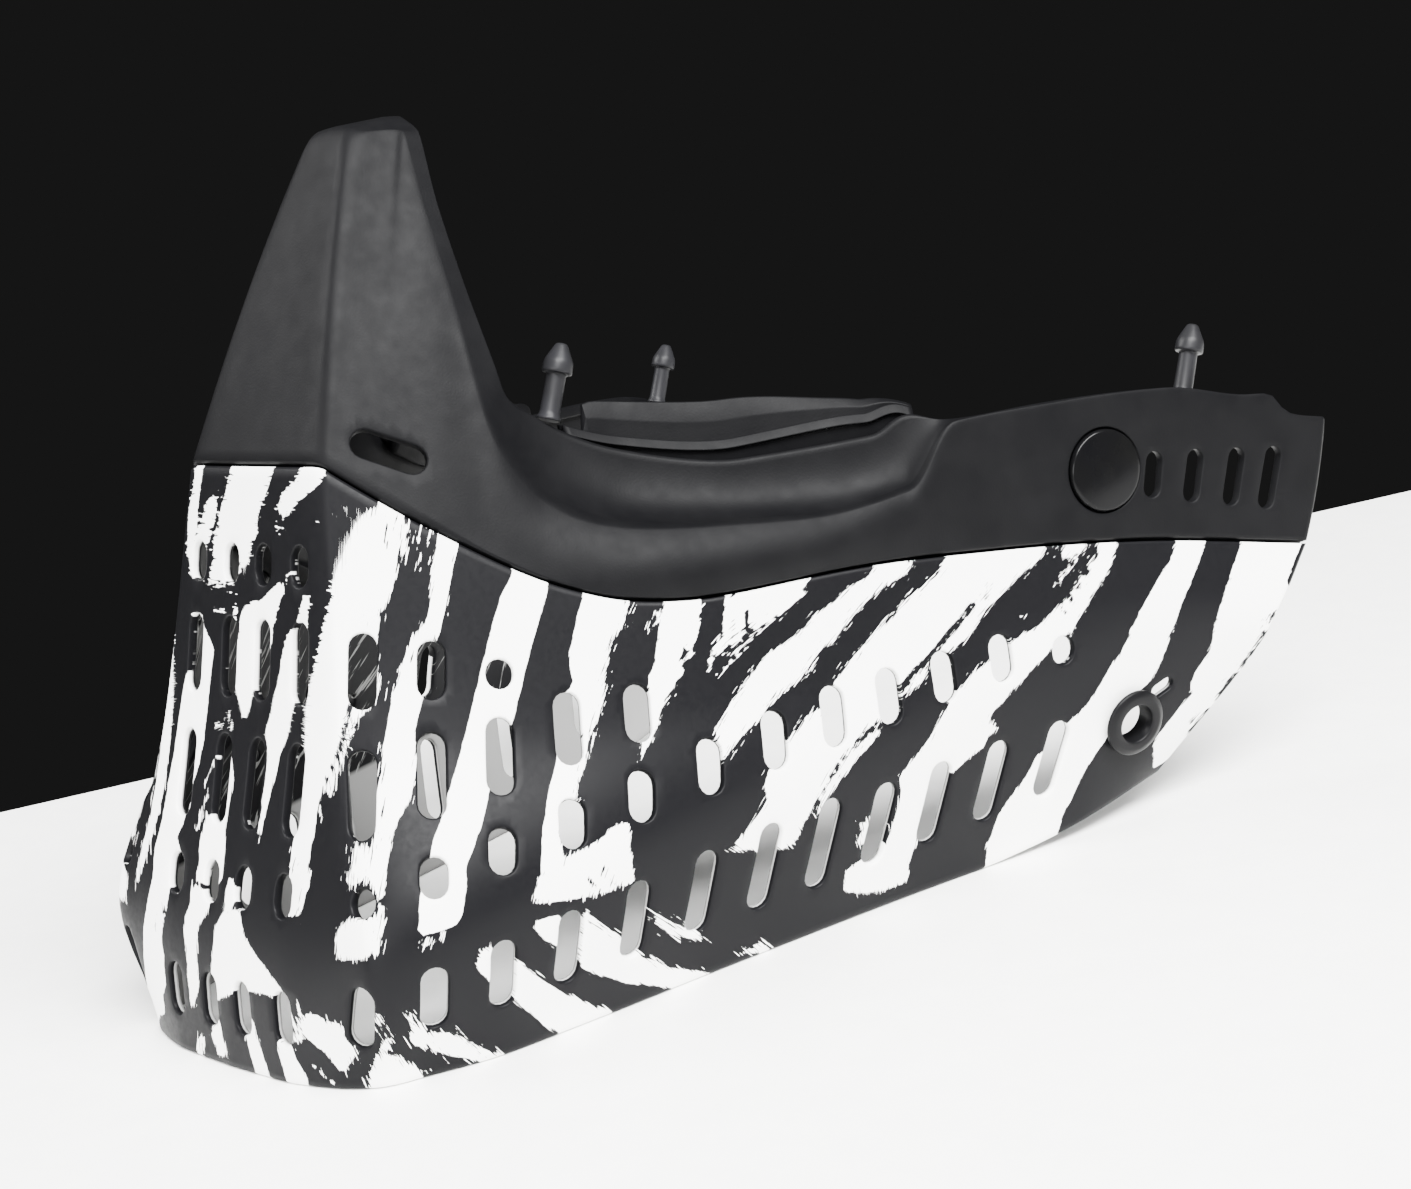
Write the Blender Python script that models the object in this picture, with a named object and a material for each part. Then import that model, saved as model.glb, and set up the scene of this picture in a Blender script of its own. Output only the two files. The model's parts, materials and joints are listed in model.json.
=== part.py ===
"""Lower face shield of a paintball mask.

A hard vented shell goes round the chin and cheeks.  A dark moulding above it
carries the nose peak, the cheek rims and the ear plates.  Lens seats, barbed
pins, ear buttons and strap rings are pieces of their own.

Units are metres, +Z is up, +X is the wearer's left and the nose points to -Y.
The shield stands on its jaw edge at Z = 0, and its origin lies under the middle
of its bounding box.

Every surface is read from a few rails that run from the middle of the front
(station 0) to the rear edge (station 17).  Stations 3 to 14 are the columns of
side vents, and stations 0.5 and 1.5 are the columns of front vents.
"""
import math

import bmesh
import bpy
import numpy as np

# Driving sizes
LENGTH = 0.2321
HALF_WIDTH = 0.0987
HEIGHT = 0.1688
SHELL_WALL = 0.0020
MOULD_WALL = 0.0024
GAP = 0.0003
SEAM_GAP = 0.0006
TONGUE_DEPTH = 0.0050
TONGUE_WALL = 0.0015

VENT_WIDTH = 0.0053
NOSE_VENT_WIDTH = 0.0055
EAR_SLOT_WIDTH = 0.0040
CRESCENT_WIDTH = 0.0030

DISH_DEPTH = 0.0040
DISH_SWEEP = 0.2
SEAT_LIP_RISE = 0.0046
SEAT_LIP_THICK = 0.0014
SEAT_GROOVE = 0.0022
SEAT_WALL_RISE = 0.0120
SEAT_WALL_THICK = 0.0018
SEAT_FOOT = 0.0040

PIN_RADIUS = 0.0020
PIN_BARB_RADIUS = 0.0030
PIN_TIP_RADIUS = 0.0011
PIN_FOOT_RADIUS = 0.0026
PIN_FOOT_HEIGHT = 0.0012
PIN_BARB_HEIGHT = 0.0024
PIN_HEAD_HEIGHT = 0.0060
FRONT_PIN_LENGTH = 0.0152
REAR_PIN_LENGTH = 0.0154
PIN_LEAN = math.radians(26)

BUTTON_RADIUS = 0.0084
BUTTON_THICK = 0.0022
BUTTON_RECESS = 0.0012
BUTTON_CHAMFER = 0.0007
RING_HOLE_RADIUS = 0.0040
RING_COLLAR_WALL = 0.0009
RING_RADIUS = 0.0072
RING_HEIGHT = 0.0014
RING_CHAMFER = 0.0010
RING_STANDOFF = 0.0012
TAB_LENGTH = 0.0140
TAB_HEIGHT = 0.0070
TAB_THICK = 0.0046
TAB_CLEARANCE = 0.0002
TAB_DROP = 0.0022

REAR_STATION = 17.0
ROUND_SIDES = 20
PIN_SIDES = 12
END_STEPS = 3
STATION_NUDGE = 0.02

# Rails.  Each row is (station, share of half width, share of length, share of
# height), and a smooth curve goes through the rows.
JAW = [
    (0.0, 0.000, 0.000, 0.000),
    (1.5, 0.190, 0.003, 0.000),
    (2.2, 0.318, 0.016, 0.000),
    (3.0, 0.400, 0.037, 0.000),
    (4.0, 0.441, 0.070, 0.000),
    (5.0, 0.495, 0.121, 0.000),
    (6.0, 0.520, 0.174, 0.000),
    (9.0, 0.588, 0.357, 0.000),
    (13.0, 0.693, 0.591, 0.000),
    (14.0, 0.735, 0.652, 0.007),
    (15.0, 0.771, 0.711, 0.019),
    (17.0, 0.796, 0.800, 0.040),
]
CREASE = [
    (0.0, 0.000, 0.020, 0.154),
    (1.5, 0.190, 0.022, 0.154),
    (2.0, 0.344, 0.028, 0.158),
    (3.0, 0.435, 0.032, 0.160),
    (4.0, 0.519, 0.076, 0.167),
    (6.0, 0.588, 0.193, 0.176),
    (9.0, 0.666, 0.386, 0.187),
    (13.0, 0.779, 0.617, 0.194),
    (15.0, 0.851, 0.746, 0.185),
    (17.0, 0.933, 0.880, 0.160),
]
CHEEK = [
    (0.0, 0.000, 0.079, 0.379),
    (1.5, 0.190, 0.080, 0.379),
    (2.0, 0.300, 0.083, 0.379),
    (3.0, 0.338, 0.094, 0.357),
    (4.0, 0.412, 0.138, 0.348),
    (6.0, 0.513, 0.240, 0.326),
    (9.0, 0.640, 0.414, 0.306),
    (13.0, 0.782, 0.628, 0.293),
    (15.0, 0.869, 0.757, 0.273),
    (17.0, 0.977, 0.911, 0.219),
]
SEAM = [
    (0.0, 0.000, 0.133, 0.650),
    (1.5, 0.167, 0.134, 0.650),
    (2.0, 0.232, 0.137, 0.649),
    (3.0, 0.281, 0.160, 0.612),
    (4.0, 0.347, 0.196, 0.560),
    (6.0, 0.468, 0.279, 0.466),
    (7.0, 0.523, 0.329, 0.434),
    (8.0, 0.579, 0.385, 0.418),
    (10.0, 0.670, 0.505, 0.408),
    (13.0, 0.770, 0.654, 0.380),
    (15.0, 0.860, 0.788, 0.345),
    (17.0, 0.979, 0.960, 0.283),
]
FLANK = [
    (0.0, 0.000, 0.204, 0.835),
    (1.5, 0.111, 0.204, 0.835),
    (2.0, 0.151, 0.205, 0.834),
    (3.0, 0.205, 0.234, 0.794),
    (4.0, 0.289, 0.239, 0.701),
    (5.0, 0.373, 0.251, 0.586),
    (6.0, 0.446, 0.283, 0.514),
    (7.0, 0.515, 0.328, 0.478),
    (8.0, 0.592, 0.394, 0.459),
    (10.0, 0.683, 0.507, 0.443),
    (11.0, 0.714, 0.561, 0.446),
    (12.0, 0.743, 0.614, 0.464),
    (15.0, 0.870, 0.810, 0.433),
    (17.0, 0.991, 0.983, 0.357),
]
BROW = [
    (0.0, 0.000, 0.273, 0.999),
    (1.5, 0.053, 0.272, 0.996),
    (2.0, 0.077, 0.275, 0.989),
    (3.0, 0.110, 0.312, 0.982),
    (3.7, 0.180, 0.298, 0.893),
    (4.4, 0.250, 0.287, 0.796),
    (5.2, 0.344, 0.271, 0.656),
    (6.0, 0.404, 0.296, 0.561),
    (7.0, 0.473, 0.339, 0.520),
    (8.0, 0.567, 0.416, 0.496),
    (10.0, 0.668, 0.522, 0.477),
    (11.0, 0.707, 0.577, 0.480),
    (12.1, 0.744, 0.630, 0.545),
    (14.0, 0.813, 0.732, 0.537),
    (15.2, 0.886, 0.843, 0.520),
    (16.0, 0.941, 0.918, 0.488),
    (16.3, 0.961, 0.944, 0.481),
    (16.5, 0.973, 0.960, 0.453),
    (17.0, 1.000, 1.000, 0.434),
]
LIP = [
    (0.0, 0.000, 0.333, 1.000),
    (1.5, 0.056, 0.332, 0.998),
    (2.0, 0.081, 0.331, 0.992),
    (3.0, 0.111, 0.330, 0.979),
    (3.7, 0.178, 0.315, 0.892),
    (4.4, 0.243, 0.307, 0.797),
    (5.2, 0.312, 0.302, 0.690),
    (6.0, 0.322, 0.333, 0.640),
    (7.0, 0.375, 0.389, 0.588),
    (8.3, 0.492, 0.476, 0.549),
    (10.4, 0.624, 0.577, 0.544),
    (11.3, 0.663, 0.606, 0.560),
    (12.1, 0.712, 0.633, 0.546),
    (14.0, 0.781, 0.734, 0.536),
    (15.2, 0.856, 0.845, 0.518),
    (16.0, 0.910, 0.920, 0.486),
    (16.3, 0.930, 0.945, 0.479),
    (16.5, 0.942, 0.961, 0.451),
    (17.0, 0.969, 1.000, 0.432),
]
# How much of DISH_DEPTH the surface dips between brow and lip: (station, share)
DISH = [(0.0, 0.0), (5.0, 0.0), (5.6, 0.4), (7.0, 1.0), (10.0, 1.0), (11.0, 0.75), (12.1, 0.05), (17.0, 0.05)]
# Size of the lens seat's section along its length: (station, share of groove, share of lip's
# rise, share of wall's rise).  The back wall begins at a step a little behind the lip's start.
SEAT = [
    (6.4, 0.8, 0.30, 0.10),
    (6.68, 0.8, 0.40, 0.13),
    (6.74, 0.85, 0.42, 0.60),
    (7.1, 1.0, 0.52, 0.76),
    (8.3, 1.0, 0.78, 0.92),
    (9.8, 0.9, 0.95, 0.68),
    (10.6, 0.75, 0.80, 0.50),
    (11.2, 0.5, 0.42, 0.22),
    (11.5, 0.35, 0.14, 0.10),
]

# Vents.  Level 0 is the jaw edge, 1 the crease, 2 the cheek and 3 the seam.
# A row of a table is (station, upper end, lower end, how far the lower end lies further
# forward, in stations).
FRONT_STATIONS = (0.5, 1.5)
FRONT_VENTS = [(2.70, 2.54), (2.41, 2.08), (1.92, 1.52), (1.35, 1.13), (0.70, 0.28)]
CHEEK_VENTS = [(3, 2.46, 2.15, 0.0), (4, 2.48, 2.20, 0.0), (5, 2.44, 2.26, 0.0)]
MIDDLE_VENTS = [
    (3, 1.98, 1.57, 0.0),
    (4, 2.04, 1.61, 0.0),
    (5, 2.10, 1.65, 0.0),
    (6, 2.24, 1.73, -0.05),
    (7, 2.25, 1.77, -0.05),
]
CREASE_VENTS = [
    (3, 1.34, 1.18, 0.0),
    (4, 1.42, 1.19, 0.0),
    (7, 1.57, 1.19, 0.0),
    (10, 1.86, 1.21, -0.05),
    (13, 1.94, 1.29, -0.05),
    (14, 1.73, 1.32, 0.0),
]
JAW_VENTS = [
    (4, 0.78, 0.35, 0.0),
    (7, 0.80, 0.32, 0.03),
    (10, 0.82, 0.29, 0.10),
    (11, 0.78, 0.30, 0.11),
    (14, 0.79, 0.32, 0.13),
]
CORNER_VENT = ((2.86, 0.77), (2.60, 0.32))

# On the moulding, level 0 is the seam, 0.5 the flank, 1 the brow and 2 the lip.
NOSE_VENT = ((2.60, 0.115), (3.92, 0.225))
EAR_SLOTS = [(15.07, 0.585, 0.285), (15.57, 0.605, 0.258), (16.03, 0.645, 0.255), (16.43, 0.702, 0.250)]
BUTTON_PLACE = (14.38, 0.490)
STRAP_PLACE = (15.29, 0.64)
CRESCENT = ((15.56, 0.80), (15.83, 0.90))
TAB_STATION = 15.53
FRONT_PIN_STATION = 6.12

# Columns and levels at which the solids follow the smooth surfaces
SEAT_STATIONS = [6.4, 6.68, 6.74, 7.1, 7.6, 8.1, 8.6, 9.1, 9.6, 10.1, 10.6, 10.9, 11.2, 11.5]
STATIONS = [0.0, 1.0, 2.0, 2.35, 2.65, 3.0, 3.4, 3.7, 4.1, 4.5, 4.9, 5.2, 5.5, 6.0, 6.5, 7.5, 8.5, 9.5, 10.5,
            11.5, 12.1, 12.5, 13.5, 14.5, 15.5, 16.3, 16.5, 17.0]
SHELL_LEVELS = [0.0, 0.5, 1.0, 1.5, 2.0, 2.5, 3.0]
MOULD_LEVELS = [0.0, 0.25, 0.5, 0.75, 1.0, 1.35, 1.7, 2.0]


def smooth(rows, column, at):
    """Read one column of a table with a curve that never overshoots its rows."""
    x = np.array([row[0] for row in rows], float)
    y = np.array([row[column] for row in rows], float)
    at = np.clip(at, x[0], x[-1])
    step = np.diff(x)
    slope = np.diff(y) / step
    tangent = np.zeros_like(y)
    tangent[0], tangent[-1] = slope[0], slope[-1]
    for k in range(1, len(x) - 1):
        if slope[k - 1] * slope[k] > 0.0:
            before = 2.0 * step[k] + step[k - 1]
            after = step[k] + 2.0 * step[k - 1]
            tangent[k] = (before + after) / (before / slope[k - 1] + after / slope[k])
    i = np.clip(np.searchsorted(x, at, side="right") - 1, 0, len(step) - 1)
    t = (at - x[i]) / step[i]
    start = y[i] * (1 + 2 * t) * (1 - t) ** 2 + step[i] * tangent[i] * t * (1 - t) ** 2
    end = y[i + 1] * t * t * (3 - 2 * t) - step[i] * tangent[i + 1] * t * t * (1 - t)
    return start + end


def rail(table, station):
    """Point of a rail; a negative station is the same point on the wearer's right."""
    side = -1.0 if station < 0.0 else 1.0
    station = abs(station)
    across = side * HALF_WIDTH * smooth(table, 1, station)
    along = LENGTH * (smooth(table, 2, station) - 0.5)
    return np.array([across, along, HEIGHT * smooth(table, 3, station)])


def shell_point(station, level):
    """Outer face of the shell: a smooth curve up through jaw, crease, cheek and seam."""
    rails = [rail(table, station) for table in (JAW, CREASE, CHEEK, SEAM)]
    points = [2 * rails[0] - rails[1]] + rails + [2 * rails[3] - rails[2]]
    i = min(max(int(level), 0), 2)
    f = level - i
    a, b, c, d = points[i:i + 4]
    bend = 2 * a - 5 * b + 4 * c - d
    twist = 3 * b - a - 3 * c + d
    return 0.5 * (2 * b + (c - a) * f + bend * f ** 2 + twist * f ** 3)


def mould_point(station, level):
    """Outer face of the moulding: seam, flank and brow, then brow, dish and lip."""
    brow = rail(BROW, station)
    if level <= 1.0:
        low, middle, high, f = rail(SEAM, station), rail(FLANK, station), brow, level
    else:
        low, high, f = brow, rail(LIP, station), level - 1.0
        dip = smooth(DISH, 1, abs(station))
        middle = low + (high - low) * (0.5 + DISH_SWEEP * dip)
        middle[2] = (low[2] + high[2]) / 2.0 - DISH_DEPTH * dip
    return low * (1 - f) * (1 - 2 * f) + middle * 4 * f * (1 - f) + high * f * (2 * f - 1)


def outward(surface, station, level, top):
    """Unit normal of a surface, averaged over both sides of a ridge."""
    total = np.zeros(3)
    for low, high in ((level - STATION_NUDGE, level), (level, level + STATION_NUDGE)):
        if low < 0.0 or high > top:
            continue
        middle = (low + high) / 2.0
        back = min(station + STATION_NUDGE, REAR_STATION)
        front = max(station - STATION_NUDGE, -REAR_STATION)
        lengthwise = surface(back, middle) - surface(front, middle)
        upwards = surface(station, high) - surface(station, low)
        normal = np.cross(lengthwise, upwards)
        total += normal / np.linalg.norm(normal)
    return total / np.linalg.norm(total)


def shell_normal(station, level):
    return outward(shell_point, station, level, 3.0)


def mould_normal(station, level):
    return outward(mould_point, station, level, 2.0)


def clear_scene():
    for item in list(bpy.data.objects):
        bpy.data.objects.remove(item, do_unlink=True)


def material(name, colour, roughness, metallic=0.0):
    made = bpy.data.materials.new(name)
    made.use_nodes = True
    shader = made.node_tree.nodes["Principled BSDF"]
    shader.inputs["Base Color"].default_value = (*colour, 1.0)
    shader.inputs["Roughness"].default_value = roughness
    shader.inputs["Metallic"].default_value = metallic
    made.diffuse_color = (*colour, 1.0)
    return made


def add_object(name, points, faces, finish=None):
    """Make an object from points and faces, with its faces turned outwards."""
    mesh = bpy.data.meshes.new(name)
    mesh.from_pydata([tuple(p) for p in points], [], faces)
    work = bmesh.new()
    work.from_mesh(mesh)
    bmesh.ops.recalc_face_normals(work, faces=work.faces)
    work.to_mesh(mesh)
    work.free()
    made = bpy.data.objects.new(name, mesh)
    bpy.context.scene.collection.objects.link(made)
    if finish is not None:
        mesh.materials.append(finish)
    return made


def closed_sweep(loops, flat_ends=False):
    """Points and faces of a closed section carried along columns, with capped ends.

    A section lists its outer side from one edge to the other and then its inner
    side back again, so each cap is a strip of quads between the two sides.  A
    section that lies in one plane is capped by a single face."""
    columns, count = len(loops), len(loops[0])
    points = [p for loop in loops for p in loop]
    faces = []
    for i in range(columns - 1):
        for j in range(count):
            k = (j + 1) % count
            faces.append((i * count + j, i * count + k, (i + 1) * count + k, (i + 1) * count + j))
    if flat_ends:
        faces.append(tuple(range(count)))
        faces.append(tuple(range(len(points) - count, len(points))))
        return points, faces
    for i, turn in ((0, 1), (columns - 1, -1)):
        for j in range(count // 2 - 1):
            k = count - 1 - j
            cap = (i * count + j, i * count + j + 1, i * count + k - 1, i * count + k)
            faces.append(cap[::turn])
    return points, faces


def both_sides(stations):
    """Stations from the wearer's right rear edge round the front to the left one."""
    return [-s for s in reversed(stations) if s > 0.0] + list(stations)


def prism(normal, outline, depth, lift=0.0):
    """A flat outline, given as 3-D points, drawn out along a normal to both sides."""
    out = [p + normal * (depth + lift) for p in outline]
    back = [p - normal * (depth - lift) for p in outline]
    count = len(outline)
    faces = [tuple(range(count)), tuple(reversed(range(count, 2 * count)))]
    for j in range(count):
        k = (j + 1) % count
        faces.append((j, j + count, k + count, k))
    return out + back, faces


def stadium(first, last, normal, width):
    """Outline of a slot with round ends whose tips lie at two given points."""
    axis = last - first
    axis = axis - normal * np.dot(axis, normal)
    length = np.linalg.norm(axis)
    axis = axis / length
    side = np.cross(normal, axis)
    middle = (first + last) / 2.0
    half = max(length - width, 0.0) / 2.0
    outline = []
    for end in (1.0, -1.0):
        for k in range(END_STEPS + 1):
            angle = math.pi * k / END_STEPS - math.pi / 2.0
            reach = axis * end * (half + math.cos(angle) * width / 2.0)
            outline.append(middle + reach + side * end * math.sin(angle) * width / 2.0)
    return outline


def slot_cut(surface, normal_of, first, last, width, depth):
    """Cutter for a slot between two (station, level) places on a surface."""
    normal = normal_of(*[(a + b) / 2.0 for a, b in zip(first, last)])
    return prism(normal, stadium(surface(*first), surface(*last), normal, width), depth)


def disc(centre, normal, radius, sides):
    """Points of a circle about a normal."""
    across = np.cross(normal, [0.0, 0.0, 1.0])
    across = across / np.linalg.norm(across)
    up = np.cross(across, normal)
    angles = [2.0 * math.pi * k / sides for k in range(sides)]
    return [centre + radius * (across * math.cos(a) + up * math.sin(a)) for a in angles]


def join_meshes(parts):
    points, faces = [], []
    for more_points, more_faces in parts:
        start = len(points)
        points.extend(more_points)
        faces.extend(tuple(i + start for i in face) for face in more_faces)
    return points, faces


def cut(target, name, parts):
    """Cut a set of solids that don't touch each other out of an object."""
    cutter = add_object(name, *join_meshes(parts))
    cutter.hide_render = True
    cutter.display_type = "WIRE"
    modifier = target.modifiers.new(name, "BOOLEAN")
    modifier.operation = "DIFFERENCE"
    modifier.solver = "EXACT"
    modifier.object = cutter


def vent_row(table):
    """Ends of the slots of one row, at every whole station from its first to its last."""
    known, uppers, lowers, leans = zip(*table)
    ends = []
    for station in range(known[0], known[-1] + 1):
        upper = float(np.interp(station, known, uppers))
        lower = float(np.interp(station, known, lowers))
        half_lean = float(np.interp(station, known, leans)) / 2.0
        ends.append(((station + half_lean, upper), (station - half_lean, lower)))
    return ends


def build_shell(finish):
    loops = []
    for station in both_sides(STATIONS):
        outer = [shell_point(station, level) for level in SHELL_LEVELS]
        inner = [p - SHELL_WALL * shell_normal(station, level) for p, level in zip(outer, SHELL_LEVELS)]
        inner[0][2] = outer[0][2]
        loops.append(outer + inner[::-1])
    shell = add_object("shell", *closed_sweep(loops), finish)
    depth = 3.0 * SHELL_WALL
    cuts = []
    vents = [((s, upper), (s, lower)) for s in FRONT_STATIONS for upper, lower in FRONT_VENTS]
    for table in (CHEEK_VENTS, MIDDLE_VENTS, CREASE_VENTS, JAW_VENTS):
        vents.extend(vent_row(table))
    vents.append(CORNER_VENT)
    for side in (-1, 1):
        for vent in vents:
            ends = [(side * station, level) for station, level in vent]
            cuts.append(slot_cut(shell_point, shell_normal, *ends, VENT_WIDTH, depth))
        place = (side * STRAP_PLACE[0], STRAP_PLACE[1])
        centre, normal = shell_point(*place), shell_normal(*place)
        hole = disc(centre, normal, RING_HOLE_RADIUS + RING_COLLAR_WALL + GAP, ROUND_SIDES)
        cuts.append(prism(normal, hole, depth))
        ends = [(side * station, level) for station, level in CRESCENT]
        cuts.append(slot_cut(shell_point, shell_normal, *ends, CRESCENT_WIDTH, depth))
    cut(shell, "cut_vents", cuts)


def seam_tongue(station):
    """Lower edge of the moulding: a tongue that reaches down behind the shell."""
    seam, normal = shell_point(station, 3.0), shell_normal(station, 3.0)
    below = SHELL_LEVELS[-2]
    inner = seam - normal * SHELL_WALL
    down = shell_point(station, below) - shell_normal(station, below) * SHELL_WALL - inner
    down = down / np.linalg.norm(down)
    face = inner - normal * SEAM_GAP
    back = face - normal * TONGUE_WALL
    return back, back + down * TONGUE_DEPTH, face + down * TONGUE_DEPTH, face - down * SEAM_GAP


def build_moulding(finish):
    loops = []
    for station in both_sides(STATIONS):
        outer = [mould_point(station, level) for level in MOULD_LEVELS]
        inner = [p - MOULD_WALL * mould_normal(station, level) for p, level in zip(outer, MOULD_LEVELS)]
        rise = outer[1] - outer[0]
        outer[0] = outer[0] + rise / np.linalg.norm(rise) * SEAM_GAP
        back, back_low, face_low, face_high = seam_tongue(station)
        outer_side = [face_low, face_high] + outer
        inner_side = inner[:0:-1] + [back, back_low]
        spare = [(inner[1] + back) / 2.0]
        loops.append(outer_side + inner_side[:-2] + spare + inner_side[-2:])
    moulding = add_object("upper_moulding", *closed_sweep(loops), finish)
    depth = 3.0 * MOULD_WALL
    cuts, recesses = [], []
    for side in (-1, 1):
        ends = [(side * station, level) for station, level in NOSE_VENT]
        cuts.append(slot_cut(mould_point, mould_normal, *ends, NOSE_VENT_WIDTH, depth))
        for station, upper, lower in EAR_SLOTS:
            ends = (side * station, upper), (side * station, lower)
            cuts.append(slot_cut(mould_point, mould_normal, *ends, EAR_SLOT_WIDTH, depth))
        place = (side * BUTTON_PLACE[0], BUTTON_PLACE[1])
        centre, normal = mould_point(*place), mould_normal(*place)
        circle = disc(centre, normal, BUTTON_RADIUS + GAP, ROUND_SIDES)
        recesses.append(prism(normal, circle, depth, depth - BUTTON_RECESS))
    cut(moulding, "cut_slots", cuts)
    cut(moulding, "cut_recesses", recesses)


def lip_frame(station):
    """Place on the lip, the level direction inwards and the lip's own direction backwards."""
    here = mould_point(station, 2.0)
    side = math.copysign(1.0, station)
    step = side * STATION_NUDGE
    along = mould_point(station + step, 2.0) - mould_point(station - step, 2.0)
    along = along / np.linalg.norm(along)
    inward = np.array([-along[1], along[0], 0.0]) * side
    return here, inward / np.linalg.norm(inward), along


def build_seat(name, side, finish):
    """A strip behind the lip: a front face, a raised lip, a groove and a back wall."""
    loops = []
    for station in SEAT_STATIONS:
        here, inward, _ = lip_frame(side * station)
        lip_top = SEAT_LIP_RISE * float(smooth(SEAT, 2, station))
        wall_top = SEAT_WALL_RISE * float(smooth(SEAT, 3, station))
        lip_back = SEAT_LIP_THICK
        wall_front = lip_back + SEAT_GROOVE * float(smooth(SEAT, 1, station))
        wall_back = wall_front + SEAT_WALL_THICK
        section = [
            (0.0, -SEAT_FOOT),
            (0.0, lip_top),
            (lip_back, lip_top),
            ((lip_back + wall_front) / 2.0, lip_top / 2.0),
            (wall_front, wall_top),
            (wall_back, wall_top),
            (wall_back, 0.0),
            (lip_back, -SEAT_FOOT),
        ]
        edge = here + inward * (MOULD_WALL + GAP)
        loops.append([edge + inward * across + np.array([0.0, 0.0, up]) for across, up in section])
    add_object(name, *closed_sweep(loops, flat_ends=True), finish)


def turned(name, base, axis, profile, finish, sides):
    """A turned piece: (height, radius) rows round an axis, closed by flat ends."""
    axis = axis / np.linalg.norm(axis)
    across = np.cross(axis, [1.0, 0.0, 0.0])
    across = across / np.linalg.norm(across)
    other = np.cross(axis, across)
    points, faces = [], []
    for height, radius in profile:
        for k in range(sides):
            angle = 2.0 * math.pi * k / sides
            spoke = across * math.cos(angle) + other * math.sin(angle)
            points.append(base + axis * height + radius * spoke)
    for row in range(len(profile) - 1):
        for k in range(sides):
            n = (k + 1) % sides
            faces.append((row * sides + k, row * sides + n, (row + 1) * sides + n, (row + 1) * sides + k))
    faces.append(tuple(range(sides)))
    faces.append(tuple(range((len(profile) - 1) * sides, len(profile) * sides)))
    return add_object(name, points, faces, finish)


def build_pin(name, base, up, length, finish):
    """A barbed pin over a face with normal up, lifted until its leaning foot clears the face."""
    axis = np.array([0.0, math.sin(PIN_LEAN), math.cos(PIN_LEAN)])
    tilt = math.sqrt(max(0.0, 1.0 - np.dot(axis, up) ** 2))
    head = length - PIN_HEAD_HEIGHT
    profile = [
        (0.0, PIN_FOOT_RADIUS),
        (PIN_FOOT_HEIGHT, PIN_RADIUS),
        (head, PIN_RADIUS),
        (head, PIN_BARB_RADIUS),
        (head + PIN_BARB_HEIGHT, PIN_BARB_RADIUS),
        (length, PIN_TIP_RADIUS),
    ]
    turned(name, base + up * (PIN_FOOT_RADIUS * tilt + GAP), axis, profile, finish, PIN_SIDES)


def build_front_pin(name, side, finish):
    """A pin on the rim of the lip, just before the lens seat."""
    here, _, along = lip_frame(side * FRONT_PIN_STATION)
    normal = mould_normal(side * FRONT_PIN_STATION, 2.0)
    up = np.cross(normal, along) * side
    build_pin(name, here - normal * MOULD_WALL / 2.0, up / np.linalg.norm(up), FRONT_PIN_LENGTH, finish)


def tab_frame(side):
    """Middle of the tab that lies along the ear plate's inner lip, and its three directions."""
    here, inward, along = lip_frame(side * TAB_STATION)
    up = np.cross(along, inward)
    up = up * math.copysign(1.0, up[2])
    middle = here + inward * (GAP + TAB_CLEARANCE + TAB_THICK / 2.0) - up * (TAB_DROP + TAB_HEIGHT / 2.0)
    return middle, inward, along, up


def build_tab(name, side, finish):
    middle, inward, along, up = tab_frame(side)
    outline = [middle + along * a * TAB_LENGTH / 2.0 + up * b * TAB_HEIGHT / 2.0
               for a, b in ((-1, -1), (1, -1), (1, 1), (-1, 1))]
    add_object(name, *prism(inward, outline, TAB_THICK / 2.0), finish)


def build_rear_pin(name, side, finish):
    middle, _, _, up = tab_frame(side)
    build_pin(name, middle + up * TAB_HEIGHT / 2.0, up, REAR_PIN_LENGTH, finish)


def build_button(name, side, finish):
    place = (side * BUTTON_PLACE[0], BUTTON_PLACE[1])
    normal = mould_normal(*place)
    base = mould_point(*place) - normal * (BUTTON_RECESS - GAP)
    profile = [
        (0.0, BUTTON_RADIUS),
        (BUTTON_THICK - BUTTON_CHAMFER, BUTTON_RADIUS),
        (BUTTON_THICK, BUTTON_RADIUS - BUTTON_CHAMFER),
    ]
    turned(name, base, normal, profile, finish, ROUND_SIDES)


def build_ring(name, side, finish):
    """A ring that stands proud of the shell, with a collar that lines the strap hole."""
    place = (side * STRAP_PLACE[0], STRAP_PLACE[1])
    centre, normal = shell_point(*place), shell_normal(*place)
    collar = RING_HOLE_RADIUS + RING_COLLAR_WALL
    profile = [
        (-SHELL_WALL, collar),
        (RING_STANDOFF, collar),
        (RING_STANDOFF, RING_RADIUS),
        (RING_STANDOFF + RING_HEIGHT, RING_RADIUS - RING_CHAMFER),
    ]
    ring = turned(name, centre, normal, profile, finish, ROUND_SIDES)
    hole = disc(centre, normal, RING_HOLE_RADIUS, ROUND_SIDES)
    cut(ring, "cut_" + name, [prism(normal, hole, SHELL_WALL + RING_STANDOFF + RING_HEIGHT)])


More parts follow.
